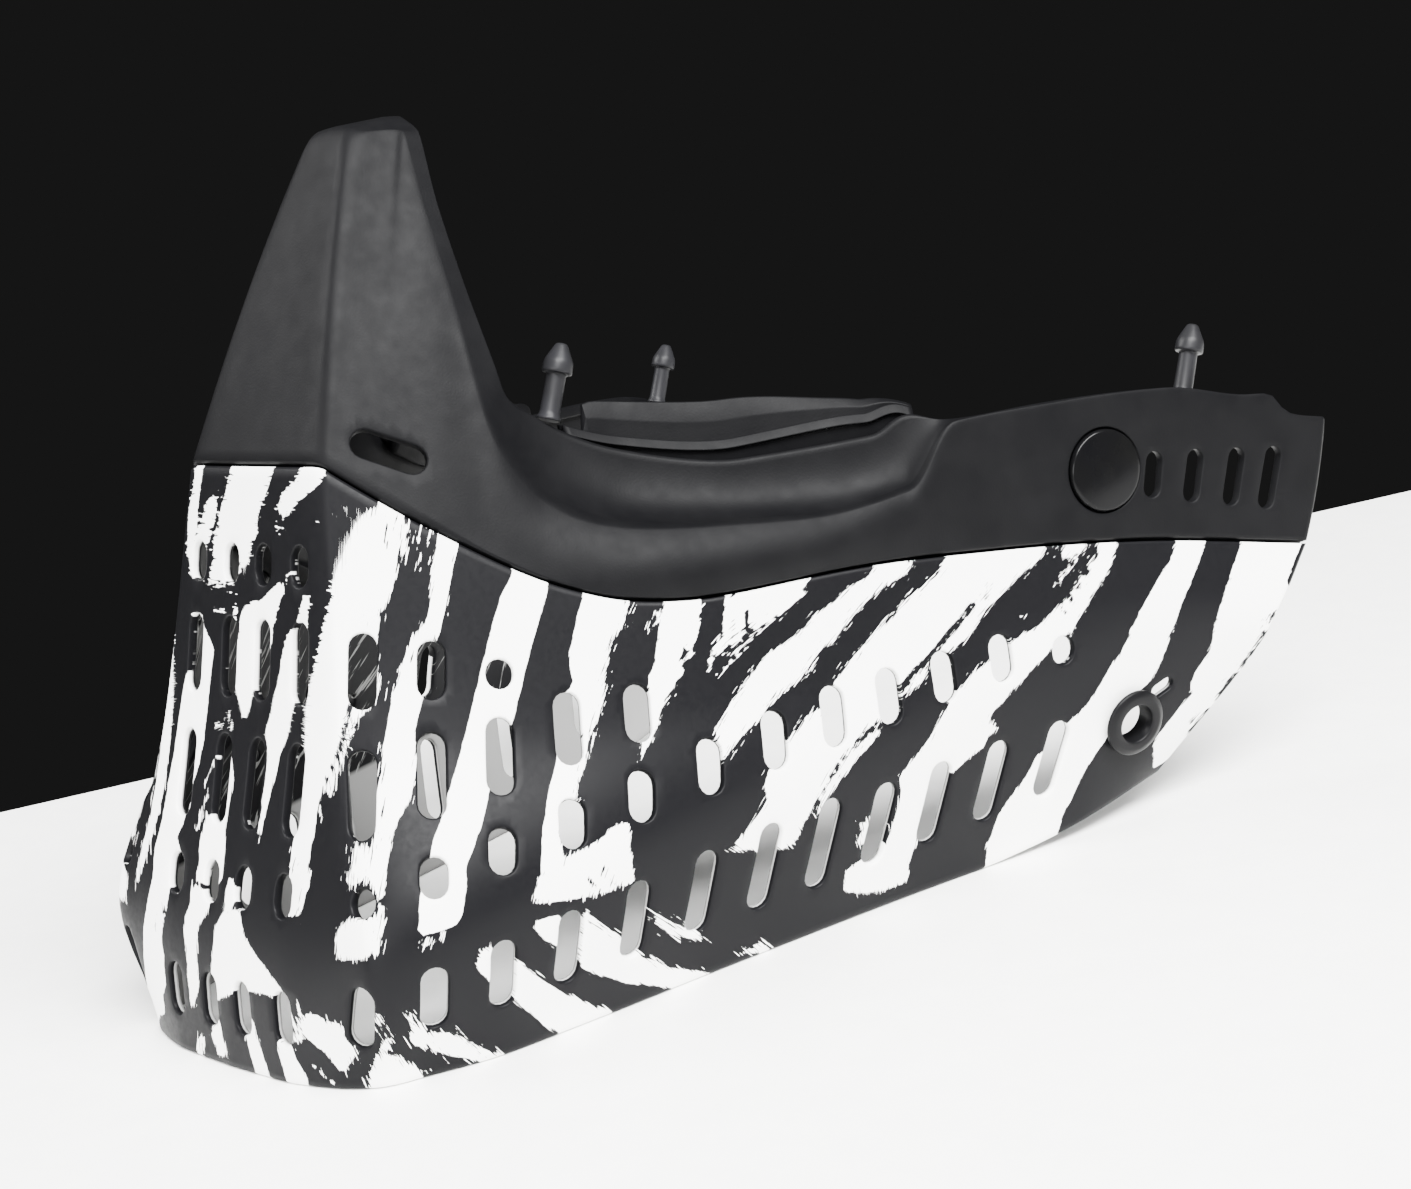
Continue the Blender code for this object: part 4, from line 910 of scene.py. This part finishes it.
def paint(made):
    """Store distance, dryness and the brush's own coordinates on a mesh."""
    mesh = made.data
    read = [np.zeros(len(mesh.vertices), "f") for _ in range(2)]
    for values, word in zip(read, ("station", "level")):
        mesh.attributes[word].data.foreach_get("value", values)
    places = np.stack(read, 1).astype(float)
    chart = Print(places, shell_face(*places.T))
    for warp, island in everywhere(FRONT_ISLANDS, SIDE_ISLANDS):
        chart.island(*island, warp)
    for warp, stroke in everywhere(FRONT_WHITE_STROKES, SIDE_WHITE_STROKES):
        chart.stroke(*stroke, warp, dark=False)
    for warp, stroke in everywhere(FRONT_DARK_STROKES, SIDE_DARK_STROKES):
        chart.stroke(*stroke, warp, dark=True)
    across, along = brush_run(places)
    for word, values in (("white", chart.white), ("dry", chart.dry), ("across", across),
                         ("along", along)):
        store(mesh, word, values)
    print("print: white share of the points", round(float((chart.white > 0).mean()), 3))


paint(shell)

# %% [markdown]
# ## The moulding
#
# It starts in a groove just above the shell's edge and rises over the flank to the brow ridge,
# then dips into the dish that the goggle frame lies in, up to a thin lip. A tongue on its lower
# edge reaches down behind the shell, as on two mouldings that are clipped together. The round
# recess in the ear plate takes the button and is sunk 1.2 mm, not cut through.

# %% Moulding
SEAM_GAP = 0.6
TONGUE_DEPTH, TONGUE_WALL = 5.0, 1.5
MOULD_WALL = 2.4
MOULD_LEVEL_MM = 26.0
GAP = 0.3


def mould_edge_face(station, level):
    """The moulding's face, with its foot moved up so that a groove is left above the seam."""
    station, level = np.broadcast_arrays(np.asarray(station, float), np.asarray(level, float))
    foot = mould_face(station, 0.0)
    lift = SEAM_GAP * SMALL / np.linalg.norm(mould_face(station, SMALL) - foot, axis=-1)
    return mould_face(station, level + lift * np.clip(1 - level / 0.12, 0, 1))


def mould_thickness(station, level):
    """The moulding's own wall, and thicker at the foot, where the tongue begins."""
    more = SHELL_WALL + SEAM_GAP + TONGUE_WALL - MOULD_WALL
    return MOULD_WALL + more * np.clip(1 - level / 0.2, 0, 1) ** 2


def mould_hole(first, last, *sizes):
    """A slot or round hole in the moulding."""
    return hole(mould_edge_face, MOULD_TOP, first, last, *sizes)


levels = np.concatenate([[0, 0.012], np.linspace(0.04, 0.9, 30), np.linspace(0.92, 1.18, 14),
                         np.linspace(1.24, 1.94, 15), [1.97, 2]])
holes = [mould_hole(*NOSE_VENT, NOSE_VENT_WIDTH, 9, 8)]
holes += [mould_hole((s, high), (s, low), EAR_SLOT_WIDTH) for s, high, low in EAR_SLOTS]
holes.append(mould_hole(BUTTON_PLACE, BUTTON_PLACE, 2 * (BUTTON_RADIUS + GAP), 24, 0))
pocket = (len(holes) - 1, BUTTON_RECESS)
build, sides = wall(mould_edge_face, MOULD_TOP, mould_thickness, levels, MOULD_LEVEL_MM, holes,
                    pocket)
outer, inner = sides["low"]
at = np.vstack(build.values)[outer, 0]


def shell_inside(level):
    """The shell's inner face over the moulding's foot at a level, and its normals."""
    level = np.full(at.shape, level)
    normal = outward(shell_face, at, level, SHELL_TOP)
    return shell_face(at, level) - SHELL_WALL * normal, normal


seam, normal = shell_inside(SHELL_TOP)
down = unit(shell_inside(2.5)[0] - seam)
front, back = seam - SEAM_GAP * normal, seam - (SEAM_GAP + TONGUE_WALL) * normal
tongue = (front - SEAM_GAP * down, front + TONGUE_DEPTH * down, back + TONGUE_DEPTH * down)
values = np.stack([at, at * 0, at * 0 + 1], 1)
rungs = [outer, *(build.add(points, values) for points in tongue), inner]
build.ladder(rungs)
build.faces.append(np.array([[row[-1] for row in rungs]]))
for word in ("rear", "high"):
    build.strip(*sides[word])
moulding = build.object("dark_moulding", mirrored=True)
print("moulding:", len(moulding.data.polygons), "faces")

# %% [markdown]
# ## Small pieces: lens seats, barbed pins, tabs, buttons and strap rings
#
# The goggle frame snaps in behind the lip: its edge drops into a groove between the lip and a
# higher back wall, and two barbed pins on each side go through holes in it. The pins are turned
# shapes: a flared foot, a shaft and a soft barb. They lean back by 26 degrees, in the direction
# the frame is pushed on.


# %% Lip frame, turned and swept shapes
def lip_frame(station):
    """Places on the lip, the level direction inwards and the lip's own direction backwards."""
    station = np.asarray(station, float)
    side, top = np.sign(station), np.full(station.shape, MOULD_TOP)
    step = 0.02 * side
    along = unit(mould_face(station + step, top) - mould_face(station - step, top))
    inward = np.stack([-along[..., 1], along[..., 0], 0 * side], -1) * side[..., None]
    return mould_face(station, top), unit(inward), along


def turned(name, base, axis, profile, sides=48, solid=True):
    """Rows of (height, radius) in mm turned about an axis: a solid with end caps, or a ring."""
    build, axis = Build(), unit(np.asarray(axis, float))
    across = unit(np.cross(axis, [1.0, 0.0, 0.0]))
    turn = np.arange(sides) * 2 * math.pi / sides
    spokes = np.cos(turn)[:, None] * across + np.sin(turn)[:, None] * np.cross(axis, across)
    rows = [build.add(base + axis * h + spokes * r) for h, r in profile]
    build.ladder(rows if solid else rows + rows[:1], closed=True, capped=solid)
    return build.object(name)


def rounded(rows, radius, steps=4):
    """Rows of (height, radius) with every inner corner replaced by a small arc."""
    rows = [np.array(row, float) for row in rows]
    made = [rows[0]]
    for before, corner, after in zip(rows, rows[1:], rows[2:]):
        low, high = (corner + unit(p - corner) * min(radius, 0.45 * np.linalg.norm(p - corner))
                     for p in (before, after))
        made += [arc_over(low, corner, high, f) for f in np.linspace(0, 1, steps)]
    return made + [rows[-1]]


# %% Lens seats, pins, tabs, buttons and rings
# Rows of (station, share of the groove, share of the lip's rise, share of the wall's rise).
SEAT = np.array([
    (6.4, 0.8, 0.30, 0.10), (6.68, 0.8, 0.40, 0.13), (6.74, 0.85, 0.42, 0.60),
    (7.1, 1, 0.52, 0.76), (8.3, 1, 0.78, 0.92), (9.8, 0.9, 0.95, 0.68),
    (10.6, 0.75, 0.80, 0.50), (11.2, 0.5, 0.42, 0.22), (11.5, 0.35, 0.14, 0.10),
])
SEAT_FOOT, SEAT_LIP, SEAT_LIP_THICK = 4.0, 4.6, 1.4
SEAT_GROOVE, SEAT_WALL, SEAT_WALL_THICK, SEAT_BEND = 2.2, 12.0, 1.8, 0.48
PIN_LEAN = math.radians(26)
# Radii of a pin's foot, of its shaft from foot to head, and of its barb from head to tip.
PIN_STATION, PIN_FOOT, PIN_SHAFT = 6.12, 2.6, (2.0, 1.9)
BARB_LENGTH, BARB = 6.0, (3.0, 2.9, 1.1)
FRONT_PIN_LENGTH, REAR_PIN_LENGTH = 15.2, 15.4
TAB = (14.0, 7.0, 4.6)  # length, height and thickness
TAB_STATION, TAB_CLEARANCE, TAB_DROP = 15.53, 0.2, 2.2
RING_HOLE, RING_COLLAR, RING_SIDES = 4.0, 4.9, 56
BUTTON_SIDES = 72


def make_seat(name, side):
    """A section of lip, groove and back wall carried along the moulding's lip.

    The lip is a flange over a hollow, and the wall's upper part leans back, so it catches the
    light."""
    build, rows = Build(), []
    marks = np.unique(np.concatenate([np.linspace(SEAT[0, 0], SEAT[-1, 0], 60), SEAT[:4, 0]]))
    here, inward, _ = lip_frame(side * marks)
    feet, shares = here + inward * (MOULD_WALL + GAP), through_rows(SEAT, marks)
    for foot, across, (width, lip, rise) in zip(feet, inward, shares):
        low, high = SEAT_LIP * lip, SEAT_WALL * rise
        front = SEAT_LIP_THICK + SEAT_GROOVE * width
        back = front + SEAT_WALL_THICK
        start = [(0.9, -SEAT_FOOT), (0.9, low - 2.0)]
        flange = [(0, low - 1.7), (0, low - 1.5), (1.1, low + 0.1), (SEAT_LIP_THICK + 0.2, low)]
        groove = [((SEAT_LIP_THICK + front) / 2 + 0.2, low - 0.9),
                  (front - 0.5, low + (high - low) * SEAT_BEND)]
        wall_top = [(front + 0.9, high), (back, high), (back, 0)]
        section = [*start, *flange, *groove, *wall_top, (SEAT_LIP_THICK + 0.6, -SEAT_FOOT), *start]
        curve = np.array(rounded(section, 0.3))[1:-1]
        rows.append(build.add(foot + curve[:, :1] * across + curve[:, 1:] * [0, 0, 1.0]))
    build.ladder(rows, closed=True, capped=True)
    return build.object(name)


def make_pin(name, base, up, length):
    """A foot, a shaft and a barb, turned about an axis that leans back by PIN_LEAN."""
    axis = np.array([0.0, math.sin(PIN_LEAN), math.cos(PIN_LEAN)])
    tilt = math.sqrt(max(0.0, 1 - (axis @ up) ** 2))
    head = length - BARB_LENGTH
    profile = [(0, 0), (0, PIN_FOOT), (1.2, PIN_SHAFT[0]), (head, PIN_SHAFT[1]), (head, BARB[0]),
               (head + 2.4, BARB[1]), (length, BARB[2]), (length, 0)]
    return turned(name, base + up * (PIN_FOOT * tilt + GAP), axis, rounded(profile, 0.6)[1:-1])


def tab_frame(side):
    """Middle of a rear tab, and its directions inwards, along the lip and up."""
    here, inward, along = lip_frame(side * TAB_STATION)
    up = np.cross(along, inward)
    up = up * np.sign(up[2])
    middle = here + inward * (GAP + TAB_CLEARANCE + TAB[2] / 2) - up * (TAB_DROP + TAB[1] / 2)
    return middle, inward, along, up


def make_tab(name, side):
    """A small plate: rings of its outline, drawn in a little at both faces for a rounded edge."""
    middle, inward, along, up = tab_frame(side)
    build, rows = Build(), []
    corners = np.array([(-1, -1), (1, -1), (1, 1), (-1, 1), (-1, -1), (1, -1)])
    outline = np.array(rounded(corners * [TAB[0] / 2, TAB[1] / 2], 1.2, 6))[1:-1]
    for depth, shrink in ((-1, 0.5), (-0.93, 0.15), (-0.8, 0), (0.8, 0), (0.93, 0.15), (1, 0.5)):
        flat = outline * (1 - shrink / np.abs(outline).max(0))
        centre = middle + inward * depth * TAB[2] / 2
        rows.append(build.add(centre + flat[:, :1] * along + flat[:, 1:] * up))
    build.ladder(rows, closed=True, capped=True)
    return build.object(name)


def make_ring(name, side):
    """A raised ring and the collar that lines the strap hole."""
    place = (side * STRAP_PLACE[0], STRAP_PLACE[1])
    section = [(-2.0, RING_HOLE), (-2.0, RING_COLLAR), (1.2, RING_COLLAR), (1.2, 7.2), (2.0, 7.1),
               (2.6, 5.8), (2.6, 4.4), (2.3, RING_HOLE), (-2.0, RING_HOLE)]
    normal = outward(shell_face, *place, SHELL_TOP)
    return turned(name, shell_face(*place), normal, rounded(section, 0.4)[:-1], RING_SIDES, False)


def make_button(name, side):
    """A low dome: its height falls with the square of the radius, then turns down at the rim."""
    place = (side * BUTTON_PLACE[0], BUTTON_PLACE[1])
    normal = outward(mould_face, *place, MOULD_TOP)
    base = mould_face(*place) - normal * (BUTTON_RECESS - GAP)
    rim = [(0, BUTTON_RADIUS), (1.0, BUTTON_RADIUS), (1.45, 8.25), (1.68, 7.95)]
    dome = [(2.2 - 0.5 * (r / 7.8) ** 2, r) for r in (7.5, 6.6, 5.4, 4.0, 2.6, 1.3, 0.4)]
    return turned(name, base, normal, rim + dome, BUTTON_SIDES)


def front_pin(name, side):
    """A pin that stands on the moulding's lip."""
    here, _, along = lip_frame(side * PIN_STATION)
    normal = outward(mould_face, side * PIN_STATION, MOULD_TOP, MOULD_TOP)
    up = unit(np.cross(normal, along) * side)
    return make_pin(name, here - normal * MOULD_WALL / 2, up, FRONT_PIN_LENGTH)


def rear_pin(name, side):
    """A pin that stands on a rear tab."""
    middle, _, _, up = tab_frame(side)
    return make_pin(name, middle + up * TAB[1] / 2, up, REAR_PIN_LENGTH)


MAKERS = [("lens_seat", "seat", make_seat), ("front_pin", "front_post", front_pin),
          ("rear_tab", "tab", make_tab), ("rear_pin", "rear_post", rear_pin),
          ("ear_button", "button", make_button), ("strap_ring", "ring", make_ring)]
small = {}
for side, word in ((1, "left"), (-1, "right")):
    for node, name, make in MAKERS:
        small[node + "_" + word] = make(name + "_" + word, side)
for node, made in small.items():
    spots = np.array([v.co for v in made.data.vertices])
    off = np.abs(np.array([spots.min(0), spots.max(0)]) - np.array(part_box(node))).max() * 1000
    print(node, "off the frame's box by at most", round(float(off), 2), "mm")

# %% [markdown]
# ## Materials
#
# Every finish is made from nodes at the real scale. The shell is a hard polyamide with a satin
# print: black ink on white, fine grain in the ink. The print is dipped, so the film also wraps
# the upper part of the inner face, where it is nearly all black, and leaves a strip above the jaw
# without ink. Wherever the inner face, or the inner half of a vent's wall, shows white, that white
# is painted mid grey: painted shade of the hollow inside. The moulding and the seats are a soft
# black rubber with a fine spark-eroded grain, nearly matte. Pins and tabs are moulded nylon,
# smoother and a little greyer. The ear buttons are polished, so they mirror the table and the
# lamps, and the strap rings are satin.


# %% Node helpers
def srgb(code):
    """Linear colour of a #RRGGBB code."""
    parts = [int(code[i:i + 2], 16) / 255 for i in (1, 3, 5)]
    return (*[c / 12.92 if c <= 0.04045 else ((c + 0.055) / 1.055) ** 2.4 for c in parts], 1.0)


def new_material(name, roughness, specular):
    """A material with its node tree and shader."""
    made = bpy.data.materials.new(name)
    made.use_nodes = True
    shader = made.node_tree.nodes["Principled BSDF"]
    shader.inputs["Roughness"].default_value = roughness
    shader.inputs["Specular IOR Level"].default_value = specular
    return made, made.node_tree, shader


def add(tree, kind, inputs=(), **settings):
    """Add a node, set its properties, and set or link its inputs by number or name."""
    node = tree.nodes.new("ShaderNode" + kind)
    for word, value in settings.items():
        setattr(node, word, value)
    for key, value in dict(inputs).items():
        if isinstance(value, bpy.types.NodeSocket):
            tree.links.new(value, node.inputs[key])
        else:
            node.inputs[key].default_value = value
    return node


def maths(tree, operation, *values):
    """One operation on values or sockets."""
    return add(tree, "Math", dict(enumerate(values)), operation=operation).outputs[0]


def attribute(tree, word):
    """A number stored on the mesh's points."""
    return add(tree, "Attribute", attribute_name=word).outputs["Fac"]


def noise(tree, vector, scale, detail=2.0, roughness=0.5):
    """Clouds round 0.5, with scale waves to a unit of the vector."""
    inputs = {"Vector": vector, "Scale": scale, "Detail": detail, "Roughness": roughness}
    return add(tree, "TexNoise", inputs).outputs[0]


def ramp(tree, value, low, high, to_low=0.0, to_high=1.0, kind="LINEAR"):
    """A value's way from low to high, brought to the way from to_low to to_high and held there."""
    inputs = dict(enumerate((value, low, high, to_low, to_high)))
    return add(tree, "MapRange", inputs, interpolation_type=kind).outputs[0]


def mix_colour(tree, factor, low, high):
    """low * (1 - factor) + high * factor."""
    return add(tree, "Mix", {0: factor, 6: low, 7: high}, data_type="RGBA").outputs[2]


def mottled(tree, cloud, low, high):
    """Two colours mixed by a cloud of noise."""
    return mix_colour(tree, cloud, srgb(low), srgb(high))


def plug(tree, shader, colour, rough, height, strength, distance):
    """Link colour and roughness to a shader, and a height as a bump that deep, in metres."""
    inputs = {"Strength": strength, "Distance": distance, "Height": height}
    bump = add(tree, "Bump", inputs).outputs[0]
    for word, socket in (("Base Color", colour), ("Roughness", rough), ("Normal", bump)):
        tree.links.new(socket, shader.inputs[word])


# %% Printed shell
EDGE_MM = 0.07  # half the width over which white turns to ink
BACK_OF_WALL = (0.5, 0.75)  # depths between which the print's front side ends
# Below these levels the inner face is painted mid grey in place of ink: painted shade of the
# hollow.
PAINTED_SHADE_BELOW = (0.83, 0.87)  # levels between which the inner face's ink begins
printed, tree, shader = new_material("printed_polyamide_painted_shade", 0.42, 0.05)
place = add(tree, "TexCoord").outputs["Object"]


def marks(width, length):
    """The brush's coordinates counted in marks of a width and a length in mm."""
    sizes = (("across", width), ("along", length))
    counted = [maths(tree, "DIVIDE", attribute(tree, word), size) for word, size in sizes]
    return add(tree, "CombineXYZ", dict(enumerate(counted))).outputs[0]


def peaks(value, calm, amount):
    """What a noise reaches beyond a calm band round its middle, in mm either way."""
    over = maths(tree, "MAXIMUM", maths(tree, "SUBTRACT", value, 0.5 + calm), 0.0)
    under = maths(tree, "MINIMUM", maths(tree, "SUBTRACT", value, 0.5 - calm), 0.0)
    return maths(tree, "MULTIPLY", maths(tree, "ADD", over, under), amount)


# The edge: long streaks and short chips where the brush was dry, and a slight wobble everywhere.
brush = marks(0.42, 4.5)
streak = peaks(noise(tree, brush, 1.0), 0.07, 12.0)
chip = peaks(noise(tree, marks(0.24, 1.8), 1.0, 1.0), 0.1, 6.0)
wobble = maths(tree, "SUBTRACT", noise(tree, place, 420.0), 0.5)
dry = maths(tree, "MULTIPLY", maths(tree, "ADD", streak, chip), attribute(tree, "dry"))
edge = maths(tree, "ADD", dry, maths(tree, "MULTIPLY", wobble, 0.5))
inside_white = maths(tree, "ADD", attribute(tree, "white"), edge)
inked = ramp(tree, inside_white, -EDGE_MM, EDGE_MM, kind="SMOOTHSTEP")
# Ink: a black that stays black in full light, with grain. Paper: the shell's clean white.
# Painted shade: the inner face's white, painted mid grey as the shade inside the hollow, seen low
# through the vents.
ink = mottled(tree, noise(tree, place, 2600.0), "#08080A", "#0C0C0D")
paper = mottled(tree, noise(tree, place, 60.0), "#F6F6F4", "#FCFCFA")
painted_shade_grey = mottled(tree, noise(tree, place, 60.0), "#6A6A69", "#747473")
back_side = ramp(tree, attribute(tree, "depth"), *BACK_OF_WALL)
front_side = ramp(tree, attribute(tree, "depth"), *BACK_OF_WALL, 1.0, 0.0)
# Painted shade strip: below these levels the inner face shows the painted shade grey, not ink.
painted_shade_strip = ramp(tree, attribute(tree, "level"), *PAINTED_SHADE_BELOW, 1.0, 0.0)
brushed = maths(tree, "MAXIMUM", painted_shade_strip, ramp(tree, noise(tree, brush, 0.35, 3.0, 0.6), 0.6, 0.63))
white_share = mix_colour(tree, front_side, brushed, inked)
# On the back of the wall the white is the painted shade grey.
base = mix_colour(tree, white_share, ink, mix_colour(tree, back_side, paper, painted_shade_grey))
# A satin film whose gloss varies a little from place to place, over a faint moulded grain.
rough = ramp(tree, noise(tree, place, 900.0, 3.0), 0.3, 0.7, 0.38, 0.47)
plug(tree, shader, base, rough, noise(tree, place, 1500.0), 0.12, 0.00005)
shell.data.materials.append(printed)


# %% Rubber, nylon, gloss
def grained(name, low, high, grain_scale, roughness, spread, strength, specular):
    """A moulded plastic: mottled colour and roughness, and a fine grain as bump."""
    made, tree, shader = new_material(name, roughness, specular)
    place = add(tree, "TexCoord").outputs["Object"]
    cloud = ramp(tree, noise(tree, place, 90.0, 4.0, 0.6), 0.35, 0.65)
    rough = ramp(tree, noise(tree, place, 260.0, 3.0), 0.3, 0.7, roughness - spread,
                 roughness + spread)
    plug(tree, shader, mottled(tree, cloud, low, high), rough, noise(tree, place, grain_scale),
         strength, 0.00008)
    return made


# Rubber: nearly black, with a soft sheen spread wide, so its folds read as slow grey gradients.
rubber = grained("moulded_rubber", "#060607", "#09090A", 2400.0, 0.54, 0.04, 0.35, 0.05)
# Nylon: a lighter grey, so the pins stand out against the rubber, with a narrower sheen.
nylon = grained("moulded_nylon", "#131314", "#18181A", 1800.0, 0.42, 0.05, 0.2, 0.1)
# Polished black: a dark dome with small bright lamp images and almost no grain.
gloss = grained("polished_black", "#060607", "#080808", 500.0, 0.22, 0.03, 0.05, 0.07)
# Satin black: between the two, a thin light line on the ring's rim.
satin = grained("satin_black", "#09090A", "#0C0C0D", 1500.0, 0.38, 0.04, 0.15, 0.06)
moulding.data.materials.append(rubber)
FINISHES = {"lens": rubber, "front": nylon, "rear": nylon, "ear": gloss, "strap": satin}
for node, made in small.items():
    made.data.materials.append(FINISHES[node.split("_")[0]])

# %% [markdown]
# ## Camera, table and light
#
# The camera stands where the photograph was taken from. The table is plain and pale, and it ends
# behind the object, in front of a dark room. The strongest soft lamp stands at the wearer's left
# and high up, a second one at the other side and a weak one beside the camera. None hangs straight
# above, so the hollow inside stays in soft shade, as the photograph shows through the vents.


# %% Camera
CAMERA_AT = np.array([431.9, -348.15, 176.4])
CAMERA_TO = np.array([42.2, -14.85, 67.3])
CAMERA_ROLL = math.radians(-9.92)
FRAME_WIDE, FRAME_HIGH, FOCAL_PX = 1411, 1189, 2660.19
SENSOR_MM = 36.0
forward = unit(CAMERA_TO - CAMERA_AT)
right = unit(np.cross(forward, [0, 0, 1.0]))
above = np.cross(right, forward)
turned_right = right * math.cos(CAMERA_ROLL) + above * math.sin(CAMERA_ROLL)
turned_up = above * math.cos(CAMERA_ROLL) - right * math.sin(CAMERA_ROLL)
data = bpy.data.cameras.new("photo_camera")
data.sensor_fit, data.sensor_width = "HORIZONTAL", SENSOR_MM
data.lens = FOCAL_PX / FRAME_WIDE * SENSOR_MM
data.clip_start, data.clip_end = 0.01, 20.0
camera = new_object("photo_camera", data)
axes = np.stack([turned_right, turned_up, -forward], 1)
rows = [[*axis, at / 1000] for axis, at in zip(axes, CAMERA_AT)]
camera.matrix_world = Matrix(rows + [[0, 0, 0, 1]])
bpy.context.scene.camera = camera


def floor_place(px, py):
    """Where the ray through a pixel of the photograph's frame meets the table."""
    ray = (forward + turned_right * (px - FRAME_WIDE / 2) / FOCAL_PX
           - turned_up * (py - FRAME_HIGH / 2) / FOCAL_PX)
    return CAMERA_AT - ray * CAMERA_AT[2] / ray[2]


far_left, far_right = floor_place(0, 812), floor_place(FRAME_WIDE, 490)
print("table edge from", far_left.round(0), "to", far_right.round(0))

# %% Table and lamps
TABLE_SPARE, TABLE_DROP = 250, 0.2  # mm past the picture's sides, and under the jaw edge
LAMP_AIM = (0.0, 0.0, 0.05)
# (name, place in m, size in m, watts)
LAMPS = [("far_side", (-0.75, -0.7, 0.98), (0.7, 0.7), 42.0),
         ("near_side", (0.78, -0.15, 1.0), (1.1, 0.55), 150.0),
         ("room", (0.5, -1.2, 0.35), (0.8, 0.5), 28.0)]

# The table's far edge runs where the photograph shows it, past both sides of the picture. It
# reaches forward until it fills the lower corners, and lies just under the jaw edge.
along_edge = unit(far_right - far_left)
toward = np.array([along_edge[1], -along_edge[0], 0.0])
near_corners = (floor_place(-60, 1250), floor_place(1471, 1250))
reach = max((spot - far_left) @ toward for spot in near_corners)
far_edge = [far_left - TABLE_SPARE * along_edge, far_right + TABLE_SPARE * along_edge]
corners = far_edge + [spot + reach * toward for spot in far_edge[::-1]]
mesh = bpy.data.meshes.new("table")
mesh.from_pydata([tuple((c - [0, 0, TABLE_DROP]) / 1000) for c in corners], [], [(0, 1, 2, 3)])
# Table laminate: a near white, faintly uneven, so the object's soft shadow shows on it.
mesh.materials.append(
    grained("table_laminate", "#F2F2F0", "#F6F6F4", 300.0, 0.5, 0.05, 0.05, 0.5))
new_object("table", mesh)
for name, at, (wide, high), watts in LAMPS:
    light = bpy.data.lights.new(name, "AREA")
    light.shape, light.size, light.size_y, light.energy = "RECTANGLE", wide, high, watts
    made = new_object(name, light)
    made.location = at
    made.rotation_euler = (Vector(LAMP_AIM) - Vector(at)).to_track_quat("-Z", "Y").to_euler()
world = bpy.data.worlds.new("dark_room")
world.use_nodes = True
backdrop = world.node_tree.nodes["Background"].inputs
backdrop[0].default_value, backdrop[1].default_value = srgb("#2A2A2A"), 0.5
bpy.context.scene.world = world
print("lamps:", len(LAMPS), "table reaches forward", round(float(reach)), "mm")

# %% Pieces ride on the frame
for node, made in {"shell": shell, "upper_moulding": moulding, **small}.items():
    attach(made, "root")
    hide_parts(node)
